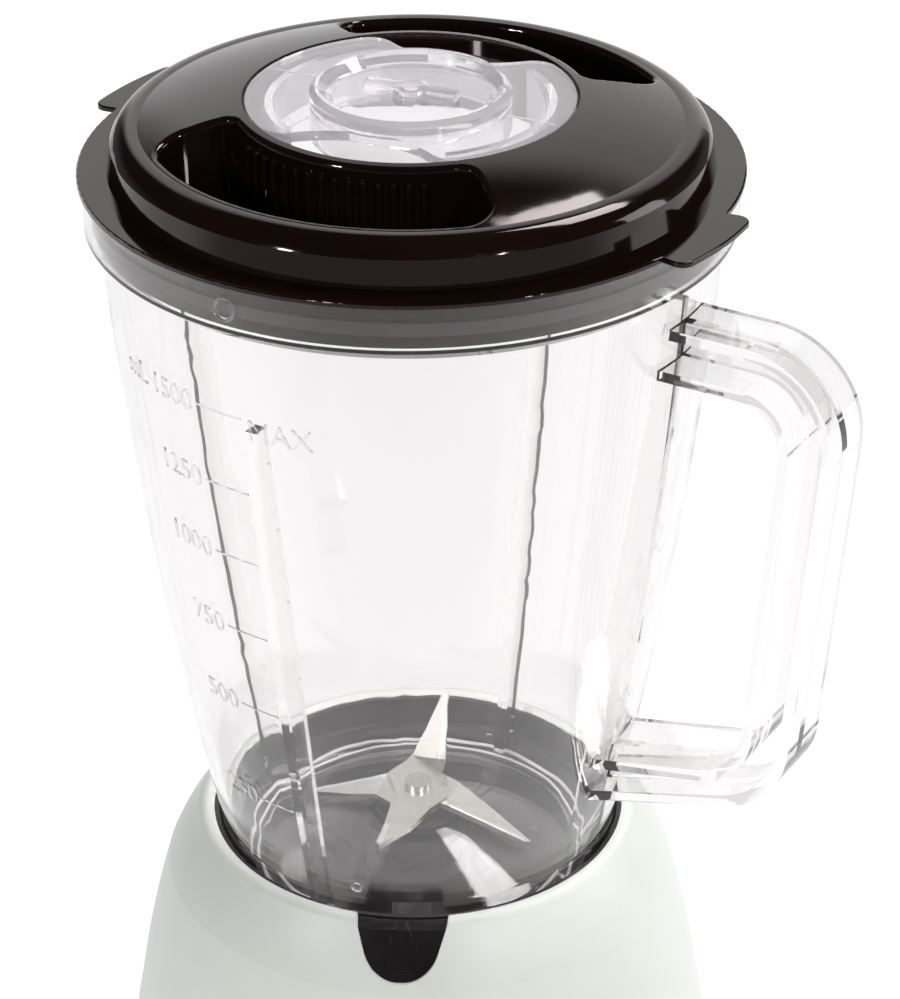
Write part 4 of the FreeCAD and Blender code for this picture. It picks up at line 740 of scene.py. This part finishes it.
def softbox(name, direction, distance, width, height, watts):
    """A rectangular white lamp that faces the jar's rim from a direction."""
    lamp = bpy.data.lights.new(name, "AREA")
    lamp.shape = "RECTANGLE"
    lamp.size, lamp.size_y = width, height
    lamp.energy = watts
    made = bpy.data.objects.new(name, lamp)
    scene.collection.objects.link(made)
    middle = Vector((0, 0, RING))
    made.matrix_world = aimed(middle + Vector(direction).normalized() * distance, middle)


softbox("overhead_softbox", (0.33, 0.40, 0.85), 1.5, 0.6, 0.36, 7.5)
softbox("front_lamp_left", (-0.61, -0.65, 0.45), 1.6, 0.12, 0.26, 6.5)
softbox("front_lamp_right", (0.52, -0.70, 0.49), 1.6, 0.12, 0.26, 7.0)
softbox("side_softbox_right", (1.0, 0.15, 0.35), 1.5, 0.5, 0.8, 5.0)

# The room: a white sweep behind the object up to about forty degrees, dim in front and overhead
world = bpy.data.worlds.new("studio")
world.use_nodes = True
scene.world = world
studio = world.node_tree
studio.nodes.clear()
split = add(studio, "ShaderNodeSeparateXYZ",
            {"Vector": add(studio, "ShaderNodeTexCoord").outputs["Generated"]})


def band_of(source, low, high):
    """0 below low, 1 above high and smooth between them, or the other way round."""
    return add(studio, "ShaderNodeMapRange", {"Value": source},
               {"From Min": low, "From Max": high},
               interpolation_type="SMOOTHSTEP").outputs["Result"]


def product(first, second):
    """Two factors multiplied."""
    made = add(studio, "ShaderNodeMath", operation="MULTIPLY")
    studio.links.new(first, made.inputs[0])
    studio.links.new(second, made.inputs[1])
    return made.outputs["Value"]


def blended(factor, first, second):
    """A colour between two hex colours, or a hex colour and a colour socket, by a factor."""
    mix = add(studio, "ShaderNodeMix", data_type="RGBA")
    studio.links.new(factor, mix.inputs[0])
    for socket, colour in ((mix.inputs[6], first), (mix.inputs[7], second)):
        if isinstance(colour, str):
            socket.default_value = linear(colour)
        else:
            studio.links.new(colour, socket)
    return mix.outputs[2]


sideways = add(studio, "ShaderNodeMath", operation="ABSOLUTE")
studio.links.new(split.outputs["X"], sideways.inputs[0])
behind = band_of(split.outputs["Y"], 0.3, 0.5)
narrow = band_of(sideways.outputs["Value"], 0.46, 0.30)
low = band_of(split.outputs["Z"], 0.74, 0.58)
sweep = product(product(behind, narrow), low)
walls = blended(band_of(split.outputs["Z"], 0.30, 0.05), "2c2a2b", "6a686a")
room = blended(sweep, walls, "ffffff")
# Rays bent by the clear parts leave into a pale room, so that their walls stay light
bent = add(studio, "ShaderNodeLightPath").outputs["Is Transmission Ray"]
glow = add(studio, "ShaderNodeBackground", {"Color": blended(bent, room, "ebe7ea")},
           {"Strength": 1.0})
sky_out = studio.nodes.new("ShaderNodeOutputWorld")
studio.links.new(glow.outputs["Background"], sky_out.inputs["Surface"])

# The floor: a paper sheet, pale by its own light, that fades to grey towards the front
floor_mesh = bpy.data.meshes.new("floor")
shape = bmesh.new()
bmesh.ops.create_grid(shape, x_segments=8, y_segments=8, size=4.0)
shape.to_mesh(floor_mesh)
shape.free()
floor = bpy.data.objects.new("floor", floor_mesh)
scene.collection.objects.link(floor)
material, tree, out = blank_material("paper_white_sweep")
depth = add(tree, "ShaderNodeSeparateXYZ", {"Vector": place_of(tree)}).outputs["Y"]
lit = add(tree, "ShaderNodeMapRange", {"Value": depth},
          {"From Min": -0.75, "From Max": -0.1, "To Min": 0.3, "To Max": 0.88},
          interpolation_type="SMOOTHSTEP").outputs["Result"]
sheet = add(tree, "ShaderNodeBsdfPrincipled",
            {"Roughness": spread(tree, noise(tree, place_of(tree), mm(200)), 0.7, 0.8),
             "Emission Strength": lit},
            {"Base Color": linear("9c9c9c"), "Emission Color": linear("ffffff")})
tree.links.new(sheet.outputs["BSDF"], out.inputs["Surface"])
floor_mesh.materials.append(material)

camera_data = bpy.data.cameras.new("camera")
camera_data.lens = 130.0
camera_data.sensor_width = 36.0
camera_data.sensor_fit = "AUTO"
camera_data.clip_start, camera_data.clip_end = 0.05, 20.0
camera = bpy.data.objects.new("camera", camera_data)
scene.collection.objects.link(camera)
CAMERA_SPOT = Vector((0.0585, -0.7431, 0.6461))
CAMERA_RIGHT = Vector((0.9979, 0.0651, -0.0043)).normalized()
CAMERA_AHEAD = Vector((-0.0590, 0.8733, -0.4837)).normalized()
CAMERA_UP = CAMERA_RIGHT.cross(CAMERA_AHEAD).normalized()
camera.matrix_world = Matrix.Translation(CAMERA_SPOT) @ Matrix(
    (CAMERA_RIGHT, CAMERA_UP, -CAMERA_AHEAD)).transposed().to_4x4()
scene.camera = camera
scene.view_settings.view_transform = "Standard"
